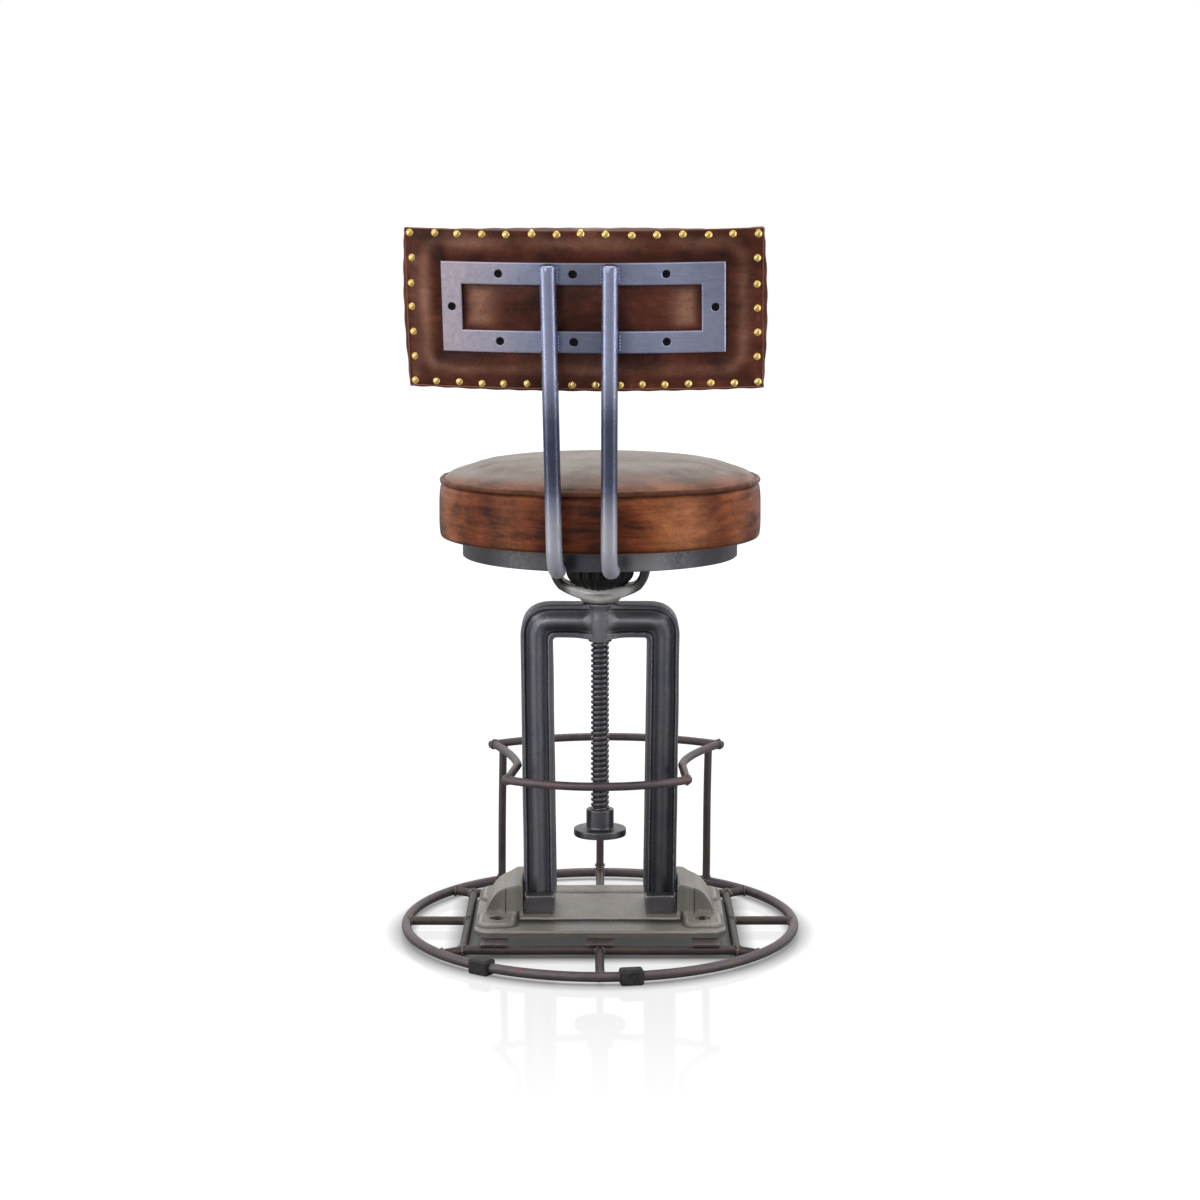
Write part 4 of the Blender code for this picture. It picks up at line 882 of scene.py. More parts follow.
# Painted shade: the foot of the raised seat's step, round the ears, high steep walls, the side wall and the
# holes.
foot = ramp(seat_edge, -0.026, 0.018) * (seat_edge < 0.0003) * (ear_edge < -0.001) * low
ear_shade = 0.75 * hill(ear_edge + 0.0022, 0.0024) * low
bolt_gap = np.hypot(np.abs(x) - BOLT_X, np.abs(y) - BOLT_Y)
hole = (bolt_gap < 0.0090) & (z < 0.0275)
raise_value(plate, "grime_and_shade", foot, ear_shade, 0.38 * ((z > 0.031) & steep), 0.45 * (z < 0.0235), 1.0 * hole)
# Painted highlight along the rims of the raised seat and the ears.
rim_highlight = hill(seat_edge - 0.0014, 0.0012) * (ear_edge < 0) + hill(ear_edge - 0.0028, 0.0014)
raise_value(plate, "wear_and_sheen", 0.8 * rim_highlight * low * (z > 0.0262))

# %% [markdown]
# The clamp is one casting: two legs and a bar in the same ribbed section, and a boss in the middle for
# the screw. The section is carried along a line that goes up one leg, round a bend, along the bar and
# down again. Beside the boss the bar is hollowed as by a cylinder, and its lower flange sweeps down to
# the boss's mouth.

# %% Clamp form
LEG_Z = 0.0483
BAR_Z = 0.3630
OUTER_EDGE = [(0.0185, 0.0, 0), (0.0185, 0.0195, 0.0020), (0.0148, 0.0195, 0.0010), (0.0136, 0.0142, 0.0010),
              (0.0124, 0.0140, 0)]
INNER_EDGE = [(-0.0102, 0.0140, 0), (-0.0116, 0.0138, 0.0010), (-0.0128, 0.0195, 0.0012),
              (-0.0185, 0.0195, 0.0020), (-0.0185, 0.0, 0)]
wide = np.linspace(0.0124, -0.0102, 28)[1:-1]
rib = np.stack([wide, 0.0140 + 0.0030 * (1 + np.cos(np.pi * (wide - 0.0011) / 0.0113))], -1)
half_section = np.concatenate([rounded(OUTER_EDGE, 6), rib, rounded(INNER_EDGE, 6)])
section = np.concatenate([half_section, half_section[::-1][1:-1] * np.array([1, -1])])
width, depth = section[None, :, 0], section[None, :, 1]


def mirrored_line(half):
    """Half of a line of (x, z) and its mirror image, from side to side."""
    return np.concatenate([half, half[::-1][1:] * np.array([-1, 1])])


def arch_line(foot, head, top, ease):
    """The arch from foot to foot. Each half is a straight leg, a parabola as the bend, and a straight bar."""
    corner = np.array([head, top])
    start = corner - ease * unit(corner - np.array([foot, LEG_Z]))
    end = corner - np.array([ease, 0])
    rise, t, run = [np.linspace(0, 1, count)[:, None] for count in (90, 26, 50)]
    leg = np.array([foot, LEG_Z]) * (1 - rise) + start * rise
    bend = parabola(start, corner, end, t)
    bar = end * (1 - run[1:]) + np.array([0, top]) * run[1:]
    return mirrored_line(np.concatenate([leg[:-1], bend, bar]))


outer = arch_line(0.08725, 0.0907, BAR_Z + LEG_HALF, 0.036)
inner = arch_line(0.05025, 0.0537, BAR_Z - LEG_HALF, 0.005)
share = ((width + LEG_HALF) / (2 * LEG_HALF))[..., None]
spot = inner[:, None] * (1 - share) + outer[:, None] * share
x, z = spot[..., 0], spot[..., 1]
limit = 0.0365 - np.sqrt(np.maximum(0.025 ** 2 - x ** 2, 0)) + 0.03 * soft_step(np.abs(x) - 0.026, 0.006)
deep = np.sign(depth) * soft_least(np.abs(depth), limit, 0.0012)
deep[:, np.abs(section[:, 1]) < 1e-9] = 0
on_bar = soft_step(z - BAR_Z + 0.03, 0.01) * soft_step(-width - 0.008, 0.008)
z = z - 0.0055 * hill(x, 0.016) * on_bar
arch = uneven(np.stack([x, deep + AXIS_Y, z], -1), 0.06, 0.00035, 8)


def capped(points):
    """A tube's rows of points with both ends closed by a row in their middle."""
    ends = points[[0, -1]].mean(1, keepdims=True).repeat(points.shape[1], 1)
    return surface(np.concatenate([ends[:1], points, ends[1:]]), wrap_columns=True)


print("arch with", arch.shape[0], "sections of", arch.shape[1], "points")

# %% [markdown]
# The boss is turned. The upper half of the bar's rib and the middle of the boss are painted lighter as a
# highlight. The right leg is painted darker than the left as shade, more towards its foot, and painted
# shade fills the hollow under the bar's rib.

# %% Clamp frame
BOSS_CORNERS = [
    (0.0109, 0.3800, 0), (0.0109, 0.3818, 0.0003), (0.0196, 0.3818, 0.0010), (0.0184, 0.3790, 0.0018),
    (0.0150, 0.3735, 0.003), (0.0166, 0.3600, 0.008), (0.0144, 0.3440, 0.005), (0.0130, 0.3375, 0.0012),
    (0.0109, 0.3375, 0.0003), (0.0109, 0.3395, 0)]
points, quads = turned(rounded(BOSS_CORNERS, 10), 56, closed=True)
boss = (on_stand(uneven(points, 0.03, 0.0003, 9)), quads)
clamp_iron = iron("clamp_iron", (108, 109, 120), (110, 101, 92), (196, 196, 204),
                  lump=24, stained=0.45, worn_and_sheen=0.85, gloss=0.47, depth=0.0005, dirt_and_shade=0.8)
sheets = [capped(arch), boss]
clamp = piece("clamp_casting", sheets, "stand", clamp_iron, ["clamp_frame"], crease=60).data

x, y, z = vertex_places(clamp).T
on_leg = np.abs(x) - FOOT_X - 0.00345 * (z - LEG_Z) / (BAR_Z - LEG_Z)
across = np.maximum(on_leg, z - BAR_Z)
bar_share = soft_step(z - BAR_Z - on_leg, 0.02)
# Painted highlight: the upper half of the bar's rib, less near the middle, and the middle of the boss.
boss_sheen = hill(x, 0.0100) * (np.hypot(x, y - AXIS_Y) < 0.0200)
lit_rib = hill(across - 0.0022, 0.0048) * bar_share * (1 - 0.7 * hill(x, 0.024))
write_value(clamp, "rub_and_sheen", np.maximum(0.75 * lit_rib, 0.30 * boss_sheen))
# Painted shade: the right leg, darker towards its foot, and the hollow under the bar's rib, but none on the
# boss.
right_leg_shade = soft_step(x - 0.03, 0.02) * (0.30 + 0.40 * ramp(z, 0.33, -0.25))
raise_value(clamp, "grime_and_shade", right_leg_shade, 0.95 * hill(across + 0.0098, 0.0034) * bar_share)
write_value(clamp, "grime_and_shade", read_value(clamp, "grime_and_shade") * (1 - boss_sheen))

# %% [markdown]
# The screw has a coarse right-hand thread. Seen as a height over a cylinder, a thread is a wave that
# climbs one pitch in a turn, so the radius depends only on z / pitch less the angle in turns. The pad
# hangs on its end.

# %% Screw and pad
PITCH = 0.006
SCREW_CREST, SCREW_ROOT = 0.0105, 0.0083
SCREW_LOW, SCREW_TOP = 0.1238, 0.3962
SEAT_TURN = np.radians(-5.1)
PAD_CORNERS = [
    (0, 0.1115, 0), (0.0302, 0.1115, 0.0012), (0.0302, 0.1195, 0.0014), (0.0170, 0.1195, 0.0015),
    (0.01575, 0.1215, 0.0015), (0.01575, 0.1425, 0.0022), (0.0110, 0.1425, 0.0006), (0.0110, 0.1240, 0.0003),
    (0, 0.1240, 0)]


def thread(bottom, top, crest, root, sides=40, rows_per_pitch=14):
    """Radius over (z, t): root + (crest - root) of a flattened wave of the phase z / pitch - t / 2 pi."""
    z = np.linspace(bottom, top, int((top - bottom) / PITCH * rows_per_pitch))[:, None]
    turn = full_turn(sides)[None]
    wave = np.cos(2 * np.pi * (z / PITCH - turn / (2 * np.pi)))
    fade_and_sheen = np.clip(np.minimum(z - bottom, top - z) / 0.004, 0, 1)
    radius = root + (crest - root) * np.clip(0.85 + 0.95 * wave, 0, 1) * fade_and_sheen
    return capped(polar(radius, turn, z))


def spun(x, y, angle):
    """A point turned about the origin: (x cos a - y sin a, x sin a + y cos a)."""
    return x * np.cos(angle) - y * np.sin(angle), x * np.sin(angle) + y * np.cos(angle)


def on_seat(points):
    """From the seat's own frame to the room: turned 5.1 degrees about the screw, which stands at AXIS_Y."""
    x, y = spun(points[..., 0], points[..., 1], SEAT_TURN)
    return np.stack([x, y + AXIS_Y, points[..., 2]], -1)


screw_iron = iron("screw_iron", (106, 105, 115), (100, 86, 78), (178, 174, 176),
                  lump=60, stained=0.4, worn_and_sheen=0.65, gloss=0.32, metallic=0.85, depth=0.0003, dirt_and_shade=0.6)
screw = moved([thread(SCREW_LOW, SCREW_TOP, SCREW_CREST, SCREW_ROOT)], on_seat)
piece("lift_screw_thread", screw, "seat", screw_iron, ["lift_screw"], crease=70)
points, quads = turned(rounded(PAD_CORNERS, 6), 56)
pad = [(on_stand(uneven(points, 0.03, 0.0002, 2)), quads)]
shoe = piece("swivel_pad_shoe", pad, "pad", screw_iron, ["swivel_pad"], crease=60)
raise_value(shoe.data, "grime_and_shade", 0.3)

# %% [markdown]
# On the screw's head sits a cast yoke, a U whose floor is as deep as a boat, with a neck like a funnel
# under it. The yoke is a ribbon along a centre line, thicker in the middle: each point of its section is
# a share of the way from the inner to the outer side and a depth from the middle.

# %% Yoke
YOKE_CORNERS = [(0.0518, 0.4575, 0), (0.0518, 0.4100, 0.014), (0.0400, 0.4000, 0.007),
                (0.0230, 0.3942, 0.007), (0.0, 0.3912, 0)]
NECK_CORNERS = [
    (0, 0.3824, 0), (0.0188, 0.3824, 0.0012), (0.0206, 0.3836, 0.002), (0.0234, 0.3868, 0.004),
    (0.0262, 0.3900, 0.004), (0.0320, 0.3935, 0.002), (0.0200, 0.3975, 0), (0, 0.3975, 0)]


def across_lines(outer, inner, section):
    """Points (x, depth, z) with (x, z) = i + s (o - i), for each (s, depth) of a section along two lines."""
    share, depth = section[:, 0], section[:, 1]
    flat = inner[:, None] + (outer - inner)[:, None] * share[None, :, None]
    return np.stack([flat[..., 0], depth[None] + 0 * flat[..., 0], flat[..., 1]], -1)


def oval(turn, power):
    """A squared-off sine: its sign times its size to a power less than 1."""
    return np.sign(np.sin(turn)) * np.abs(np.sin(turn)) ** power


def boat(points):
    """The floor is deeper than the arms, like a hull: depth grows by half towards the middle, and the hull's
    upper edge rises towards the sides."""
    x, y, z = np.moveaxis(points, -1, 0)
    lip = 0.0030 * soft_step(np.abs(y) - 0.0095, 0.007) * soft_step(z - 0.3945, 0.006)
    lip = lip * np.exp(-(x / 0.034) ** 4)
    hull = np.stack([x, y * (1 + 0.5 * hill(x, 0.031)), z + lip * (1 + 0.6 * (x / 0.037) ** 2)], -1)
    return on_seat(uneven(hull, 0.05, 0.0003, 4))


centre = mirrored_line(resampled(rounded(YOKE_CORNERS, 14), 70))
ahead = unit(np.gradient(centre, axis=0))
outward = np.stack([-ahead[:, 1], ahead[:, 0]], -1)
half_thick = (0.0107 + 0.0057 * hill(centre[:, :1], 0.024)) / 2
turn = full_turn(24)
loop = np.stack([0.5 + 0.5 * oval(turn + np.pi / 2, 0.55), 0.015 * oval(turn, 0.6)], -1)
yoke_points = across_lines(centre + outward * half_thick, centre - outward * half_thick, loop)
points, quads = turned(rounded(NECK_CORNERS, 5), 64)
neck = on_seat(points * np.array([1, 0.80, 1])), quads
# The pale colour stands in for the highlight on the boat-shaped floor of the yoke.
yoke_iron = iron("yoke_iron", (232, 230, 226), (150, 140, 124), (216, 213, 206),
                 lump=34, stained=0.4, gloss=0.36, metallic=0.25, depth=0.0004, dirt_and_shade=0.93)
sheets = [capped(boat(yoke_points)), neck]
yoke = piece("yoke_casting", sheets, "seat", yoke_iron, ["seat_yoke"], crease=60).data
# Painted shade darkens the arms, more further out.
raise_value(yoke, "grime_and_shade", soft_step(np.abs(vertex_places(yoke)[:, 0]) - 0.0365, 0.015))

# %% [markdown]
# In the yoke sits a black ribbed hub that carries the seat. It is a cup whose radius also waves with the
# angle.

# %% Hub
def ribbed(bottom, top, foot, rim, rim_height, ribs, depth, sides=216):
    """A cup with ribs: the radius runs from foot to rim, less depth times a flattened wave of the angle."""
    share = np.concatenate([np.linspace(0, 1, 14), np.linspace(1, 1, 10)])[:, None]
    wall = np.linspace(rim_height + 0.001, top - bottom, 10)
    height = np.concatenate([np.linspace(0, rim_height, 14), wall])[:, None]
    turn = full_turn(sides)[None]
    groove = depth * np.clip(0.5 - 0.9 * np.cos(ribs * turn), 0, 1)
    radius = foot + (rim - foot) * np.sin(share * np.pi / 2) ** 0.9 - groove * np.clip(share, 0.3, 1)
    return capped(polar(radius, turn, bottom + height))


black_iron = iron("black_iron", (30, 29, 31), (38, 34, 30), (104, 104, 106), lump=80, stained=0.4, worn_and_sheen=0.55,
                  gloss=0.5, metallic=0.5, depth=0.0005)
cup = ribbed(0.3968, 0.4575, foot=0.018, rim=0.0385, rim_height=0.020, ribs=20, depth=0.0042)
piece("ribbed_hub_cup", moved([cup], on_seat), "seat", black_iron, ["ribbed_hub"], crease=45)

# %% [markdown]
# The steel under the seat and on the back is ground and lacquered. It keeps a blue cast from the rolling,
# fine grinding lines, and dark marks beside the welds, which on the back frame are painted shade beside
# the uprights. The marks are worked out on the vertices as an attribute, from their distance to the welds.

# %% Satin steel
def steel(name, colour, stain, bare, gloss, across, marked, depth=0.00006):
    """Ground steel: the patina group in steel colours and fine grinding lines along one way. One attribute
    paints dark marks, partly painted shade, "shine" paints a highlight in the bare colour, and "matt" gives
    a cloudy lacquer, painted pale, which also stands in for light."""
    made, tree, inputs = new_material(name, metallic=0.92)
    values = {"Colour": tone(*colour), "Stain": tone(*stain), "Bare": tone(*bare), "Lump": 16.0,
              "Stained": marked, "Worn and sheen": 0.0, "Dirt and shade": 0.5, "Gloss": gloss}
    patina = node(tree, "Group", values, node_tree=iron_patina).outputs
    matt = painted(tree, "matt")
    tree.links.new(ranged(tree, matt, 0.0, 1.0, 0.92, 0.35), inputs["Metallic"])
    lines = cloudy(tree, drawn_out(tree, own_place(tree), across), 1.0)
    ground = ranged(tree, lines, 0.3, 0.7, 0.92, 1.08)
    ground = node(tree, "CombineColor", {0: ground, 1: ground, 2: ground}).outputs[0]
    skin = mixed(tree, 1.0, patina["Colour"], ground, "MULTIPLY")
    # Painted highlight where the shine value is and on worn edges; the matt lacquer is painted pale; dark
    # marks, partly painted shade.
    shine = math(tree, "MAXIMUM", painted(tree, "shine"), times(tree, painted(tree, "wear_and_sheen"), 0.7))
    skin = mixed(tree, shine, skin, tone(*bare))
    skin = mixed(tree, times(tree, matt, 1.2, clamp=True), skin, tone(196, 197, 202))
    skin = mixed(tree, painted(tree, "scorch_and_shade"), skin, tone(34, 34, 40))
    rough = plus(tree, patina["Roughness"], times(tree, matt, 0.22))
    finish(tree, inputs, skin, rough, plus(tree, times(tree, patina["Height"], 0.4), lines), depth)
    return made


satin_steel = steel("satin_steel", (164, 171, 202), (168, 164, 168), (216, 201, 211), gloss=0.34,
                    across=(60, 60, 900), marked=0.3)
drawn_steel = steel("drawn_steel", (84, 90, 112), (108, 107, 110), (184, 190, 222), gloss=0.33,
                    across=(900, 900, 30), marked=0.2, depth=0.000006)
# A darker copy of the steel with more stain; its darkness is painted shade under the seat's overhang.
shaded_hoop_steel = steel("shaded_hoop_steel", (72, 72, 81), (94, 92, 74), (176, 174, 178), gloss=0.42,
                   across=(40, 40, 900), marked=0.45)
print("three steels")

# %% [markdown]
# Under the seat is a shallow drum: a steel plate and a hoop of flat bar, in a darker copy of the steel
# that paints the shade under the seat's overhang. One patch of the hoop is painted lighter as a highlight,
# and each upright's foot has a dark mark beside it.

# %% Pan and hoop
HOOP_RADIUS, HOOP_INSIDE = 0.1556, 0.1506
HOOP_TOP, HOOP_LOW = 0.4623, 0.4377
UPRIGHT_Z = 0.4400
upright_feet = np.array([[-0.0317, -HOOP_RADIUS, UPRIGHT_Z], [0.0263, -HOOP_RADIUS, UPRIGHT_Z]])


def write_scorch_and_shade(mesh, spots, reach, most):
    """Dark marks, partly painted shade: most times the sum over the welds of exp(-(d / reach)^2), written on
    the vertices.
    """
    gap = np.linalg.norm((vertex_places(mesh)[:, None] - spots[None]) / reach, axis=-1)
    write_value(mesh, "scorch_and_shade", hill(gap, 1).sum(1) * most)


pan = rounded([(0, 0.4578, 0), (0.1503, 0.4578, 0.0006), (0.1503, HOOP_TOP, 0.0006), (0, HOOP_TOP, 0)], 4)
piece("seat_pan_disc", moved([turned(pan, 120)], on_seat), "seat", shaded_hoop_steel, ["seat_pan"])
hoop = rounded([(HOOP_INSIDE, HOOP_LOW + 0.012, 0), (HOOP_INSIDE, HOOP_LOW, 0.0009),
                (HOOP_RADIUS, HOOP_LOW, 0.0012), (HOOP_RADIUS, HOOP_TOP, 0.0009),
                (HOOP_INSIDE, HOOP_TOP, 0.0006), (HOOP_INSIDE, HOOP_LOW + 0.0121, 0)], 5)
hoop = np.concatenate([resampled(hoop[:17], 30), hoop[17:]])
band = moved([turned(hoop, 300, closed=True)], on_seat)
hoop_mesh = piece("seat_hoop_band", band, "seat", shaded_hoop_steel, ["seat_hoop"]).data
beside_feet = on_seat(upright_feet + np.array([0.0145, 0, 0.008]))
write_scorch_and_shade(hoop_mesh, beside_feet, np.array([0.008, 0.03, 0.012]), 0.75)
x = vertex_places(hoop_mesh)[:, 0]
# Painted highlight: one patch of the hoop, and a faint one all round.
write_value(hoop_mesh, "shine", 0.08 + 0.42 * np.exp(-((x - 0.046) / 0.027) ** 4))

# %% [markdown]
# Two bent tubes are welded to the hoop and carry the back. Each leaves the hoop level, bends up on an arc
# of 36.5 mm and leans back 10 degrees. They spread a little towards the top.

# %% Uprights
LEAN = np.radians(10)
BEND = 0.03655
BEND_OUT = HOOP_RADIUS + 0.002
BACK_Z = 0.7175
FRAME_X, FRAME_TALL, FRAME_UP = 0.1482, 0.04725, 0.0035
TUBE_ROD = 0.00875
FOOT_SPREAD, HEAD_SPREAD = 0.0290, 0.0321


def upright_out(z):
    """How far the leaning part is from the screw at height z: out + (z - foot) tan(lean)."""
    sweep = np.pi / 2 - LEAN
    return BEND_OUT + BEND * np.sin(sweep) + (z - UPRIGHT_Z - BEND * (1 - np.cos(sweep))) * np.tan(LEAN)


sweep = np.linspace(-np.pi / 2, -LEAN, 18)
top_z = BACK_Z + (FRAME_UP + FRAME_TALL) * np.cos(LEAN)
bend_z = UPRIGHT_Z + BEND + BEND * np.sin(sweep)
run_z = np.linspace(bend_z[-1], top_z, 40)[1:]
out = [[HOOP_RADIUS - 0.003, HOOP_RADIUS + 0.0004], BEND_OUT + BEND * np.cos(sweep), upright_out(run_z)]
out = np.concatenate(out)
z = np.concatenate([[UPRIGHT_Z, UPRIGHT_Z], bend_z, run_z])
share = (z - UPRIGHT_Z) / (top_z - UPRIGHT_Z)
upright_weld = []
for side, sign in (("left", -1), ("right", 1)):
    x = -0.0027 * (1 - share) + sign * (FOOT_SPREAD + (HEAD_SPREAD - FOOT_SPREAD) * share)
    sheet = tube(np.stack([x, -out, z], -1), TUBE_ROD, aim=(1, 0, 0), sides=28, ease=0.0022)
    name = f"back_upright_{side}"
    mesh = piece(name + "_tube", moved([sheet], on_seat), "seat", drawn_steel, [name]).data
    height = vertex_places(mesh)[:, 2]
    # Painted highlight near the top of each tube and near its foot; the foot's matt lacquer is painted pale
    # too.
    write_value(mesh, "shine", 0.75 * ramp(height, 0.605, 0.05) + ramp(height, 0.540, -0.07))
    write_value(mesh, "matt", 0.6 * ramp(height, 0.530, -0.04))
    joint = np.array([x[0], -HOOP_RADIUS, UPRIGHT_Z])
    upright_weld.append(weld(joint, (0, -1, 0), (1, 0, 0), 0.0086, 0.0005, bead=0.0006, seed=sign, lumpy=0.1))
piece("upright_welds", moved(upright_weld, on_seat), "seat", drawn_steel)

# %% [markdown]
# The back frame is cut from flat bar, curved to the sitter's back, with a long window. It is a ribbon
# between an outer and an inner rectangle, and its flat coordinates are round the curve s, up the back h
# and forward n. Eight holes are drilled before it is bent. One function bends everything that belongs to
# the back.

# %% Bending the back
BACK_CURVE = 1.0


def on_back(points):
    """From (s, n, h) to the room: ((C - n) sin(s / C), rear + C - (C - n) cos(s / C), h), leaned back 10
    degrees, set at the uprights and turned with the seat."""
    s, n, h = points[..., 0], points[..., 1], points[..., 2]
    sag = BACK_CURVE - np.sqrt(BACK_CURVE ** 2 - 0.027 ** 2)
    reach = BACK_CURVE - n
    x = reach * np.sin(s / BACK_CURVE)
    y = 0.00905 - sag + BACK_CURVE - reach * np.cos(s / BACK_CURVE)
    y, z = spun(y, h, LEAN)
    return on_seat(np.stack([x + 0.002, y - upright_out(BACK_Z), z + BACK_Z], -1))


def across_back(sheet, s, h, n=0.0):
    """Lays a turned shape's axis along n at (s, h): its height becomes depth."""
    points, quads = sheet
    return np.stack([points[:, 0] + s, points[:, 2] + n, points[:, 1] + h], -1), quads


def rectangle(half_x, half_z, middle_x, middle_z, long_count=70, short_count=20):
    """Points round a rectangle, the same number on each side of any rectangle, corners included once."""
    a, b = np.linspace(-1, 1, long_count)[:-1], np.linspace(-1, 1, short_count)[:-1]
    x = np.concatenate([a, np.ones_like(b), -a, -np.ones_like(b)])
    z = np.concatenate([-np.ones_like(a), b, np.ones_like(a), -b])
    return np.stack([middle_x + half_x * x, middle_z + half_z * z], -1)


print("the back is bent to", BACK_CURVE, "m")

# %% [markdown]
# The flat bar's section is given as shares from the window's edge to the outer edge, with a depth each.
# After the holes are drilled and the bar is bent, the left end is painted lighter as a highlight and the
# right end a little, and painted shade darkens the middle and the bar beside each upright.

# %% Back frame
WINDOW_X, WINDOW_TALL, WINDOW_SHIFT = 0.1252, 0.02425, -0.0016
FLAT_BAR = np.array([[0.95, 0.0], [1.0, 0.0008], [1.0, 0.0048], [0.97, 0.0055], [0.5, 0.0055], [0.03, 0.0055],
                     [0.0, 0.0048], [0.0, 0.0008], [0.05, 0.0], [0.5, 0.0]])
SCREW_HOLE = [(0, -0.004, 0), (0.0052, -0.004, 0), (0.0052, -0.0002, 0), (0.0043, 0.0006, 0),
              (0.0043, 0.010, 0), (0, 0.010, 0)]
outer_loop = rectangle(FRAME_X, FRAME_TALL, 0, FRAME_UP)
inner_loop = rectangle(WINDOW_X, WINDOW_TALL, WINDOW_SHIFT, FRAME_UP)
points = across_lines(outer_loop, inner_loop, FLAT_BAR)
frame_mesh = closed_mesh("frame_bar", [surface(points, wrap_rows=True, wrap_columns=True)])

screw_spots = [(s, FRAME_UP + h) for h in (0.0355, -0.0355) for s in (-0.087, -0.0095, 0.087)]
screw_spots += [(-0.1376, FRAME_UP), (0.1376, FRAME_UP)]
hole = turned(rounded(SCREW_HOLE, 2), 24)
bar_sheet = bored(frame_mesh, [across_back(hole, s, h) for s, h in screw_spots])
sheets = moved([bar_sheet], on_back)
mesh = piece("back_frame_bar", sheets, "seat", satin_steel, ["back_frame"], crease=30).data
# Painted shade on the bar beside each upright.
feet = np.array([(s, 0.0, FRAME_UP + h) for s in (-0.0335, 0.0295) for h in (-0.036, 0.036)])
write_scorch_and_shade(mesh, on_back(feet + np.array([0.010, 0, 0])), np.array([0.011, 0.02, 0.03]), 0.35)
x = vertex_places(mesh)[:, 0]
# Painted highlight at the left end and a little at the right; painted shade in the middle and a little at the
# right.
left, right = ramp(x, -0.06, -0.09), ramp(x, 0.05, 0.09)
write_value(mesh, "shine", 0.75 * left + 0.1 * right)
raise_value(mesh, "scorch_and_shade", 0.45 * np.exp(-((x + 0.010) / 0.038) ** 4) + 0.15 * right)

up = np.linspace(-0.0085, 0.0085, 26)
beads = []
for s, h, side in [(s, h, side) for s in (-0.0341, 0.0295) for h in (-0.0355, 0.0355) for side in (-1, 1)]:
    line = np.stack([s + side * 0.0086 + 0 * up, -0.0010 + 0 * up, FRAME_UP + h + up], -1)
    lumps = 0.0016 + 0.0005 * np.sin(1900 * up + 7 * s + 3 * side)
    beads.append(tube(on_back(line), lumps, aim=(0, 1, 0), sides=8, ease=0.0006))
mesh = piece("frame_welds", beads, "seat", drawn_steel).data
write_value(mesh, "shine", np.full(len(mesh.vertices), 0.5))

# %% [markdown]
# A dark screw sits at the bottom of each hole, with a cross recess. Its head is a disc whose height drops
# where the point lies in one of the two crossing slots.

# %% Frame screws
def crossed_head(radius, dome, slot_width, slot_reach, slot_depth, rings=9, sides=24):
    """A round head over (r, t), facing down: dome (1 - (r / R)^2) less the slots, which are where |x| or |y|
    is small and r is less than their reach; the rim goes straight up."""
    r = np.concatenate([np.linspace(0, 1, rings) ** 0.8, [1.0]])[:, None] * radius
    turn = full_turn(sides)[None]
    x, y = r * np.cos(turn), r * np.sin(turn)
    slot = np.minimum(np.abs(x), np.abs(y)) / slot_width
    inside = np.clip(1.5 - slot, 0, 1) * np.clip((slot_reach - r) / (0.15 * slot_reach) + 0.5, 0, 1)
    height = dome * (1 - (r / radius) ** 2) ** 0.8 - slot_depth * inside
    height[-1] = -0.0015
    points = np.stack([x, y, -height], -1)
    base = points[-1:] * np.array([0, 0, 1])
    return surface(np.concatenate([points, base]), wrap_columns=True)


SCREW_SINK = 0.0032
dark_screw = iron("dark_screw", (28, 28, 31), (34, 30, 28), (90, 90, 94), lump=120, stained=0.3, worn_and_sheen=0.3,
                  gloss=0.45, metallic=0.8, depth=0.0002)
head = crossed_head(0.0039, dome=0.0004, slot_width=0.0006, slot_reach=0.0024, slot_depth=0.0010)
names = ["top_left", "top_middle", "top_right", "bottom_left", "bottom_middle", "bottom_right",
         "left", "right"]
for name, (s, h) in zip(names, screw_spots):
    sheets = moved([across_back(head, s, h, SCREW_SINK)], on_back)
    piece(f"back_screw_{name}_head", sheets, "seat", dark_screw, [f"back_screw_{name}"])

# %% [markdown]
# The leather is pulled-up hide: dark where the wax sits, reddish where it is stretched, pale where it is
# rubbed. One node group mixes three tones over large blotches, fine streaks and a pebble grain, and reads
# the same edge and hollow values as the iron, which paint highlights on ridges and shade in creases, plus
# a rub value and a fade value, which each cushion writes for its own polished places, painted highlights
# and painted sheen.

# %% Leather
tree, given, result = group(
    "leather_skin",
    [("Colour", COLOUR, (0.2, 0.08, 0.05, 1)), ("Dark", COLOUR, (0.05, 0.02, 0.02, 1)),
     ("Pale", COLOUR, (0.4, 0.2, 0.1, 1)), ("Faded and sheen", COLOUR, (0.3, 0.25, 0.2, 1)), ("Blotch", VALUE, 14.0),
     ("Grain", VALUE, 420.0), ("Streak", VALUE, 0.5), ("Gloss", VALUE, 0.42)], SKIN_OUTPUTS)
leather_skin = tree
place = own_place(tree)
blotch = cloudy(tree, place, given["Blotch"], 5.0, 0.62, 0.6)
streak = cloudy(tree, drawn_out(tree, place, (22, 22, 150)), 1.0, 4.0, 0.6)
cells = node(tree, "TexVoronoi", {"Vector": place, "Scale": given["Grain"]}, feature="SMOOTH_F1")
grain = cells.outputs["Distance"]
fine = cloudy(tree, place, times(tree, given["Grain"], 1.7))

level = plus(tree, blotch, times(tree, math(tree, "SUBTRACT", streak, 0.5), given["Streak"]))
skin = mixed(tree, ranged(tree, level, 0.34, 0.62), given["Dark"], given["Colour"])
# Polish, and painted highlights where a cushion writes them.
polish_and_sheen = plus(tree, ranged(tree, level, 0.60, 0.86, 0, 0.7), painted(tree, "rub_and_sheen"))
polish_and_sheen = times(tree, polish_and_sheen, ranged(tree, level, 0.3, 0.6, 0.35, 1.0), clamp=True)
skin = mixed(tree, polish_and_sheen, skin, given["Pale"])
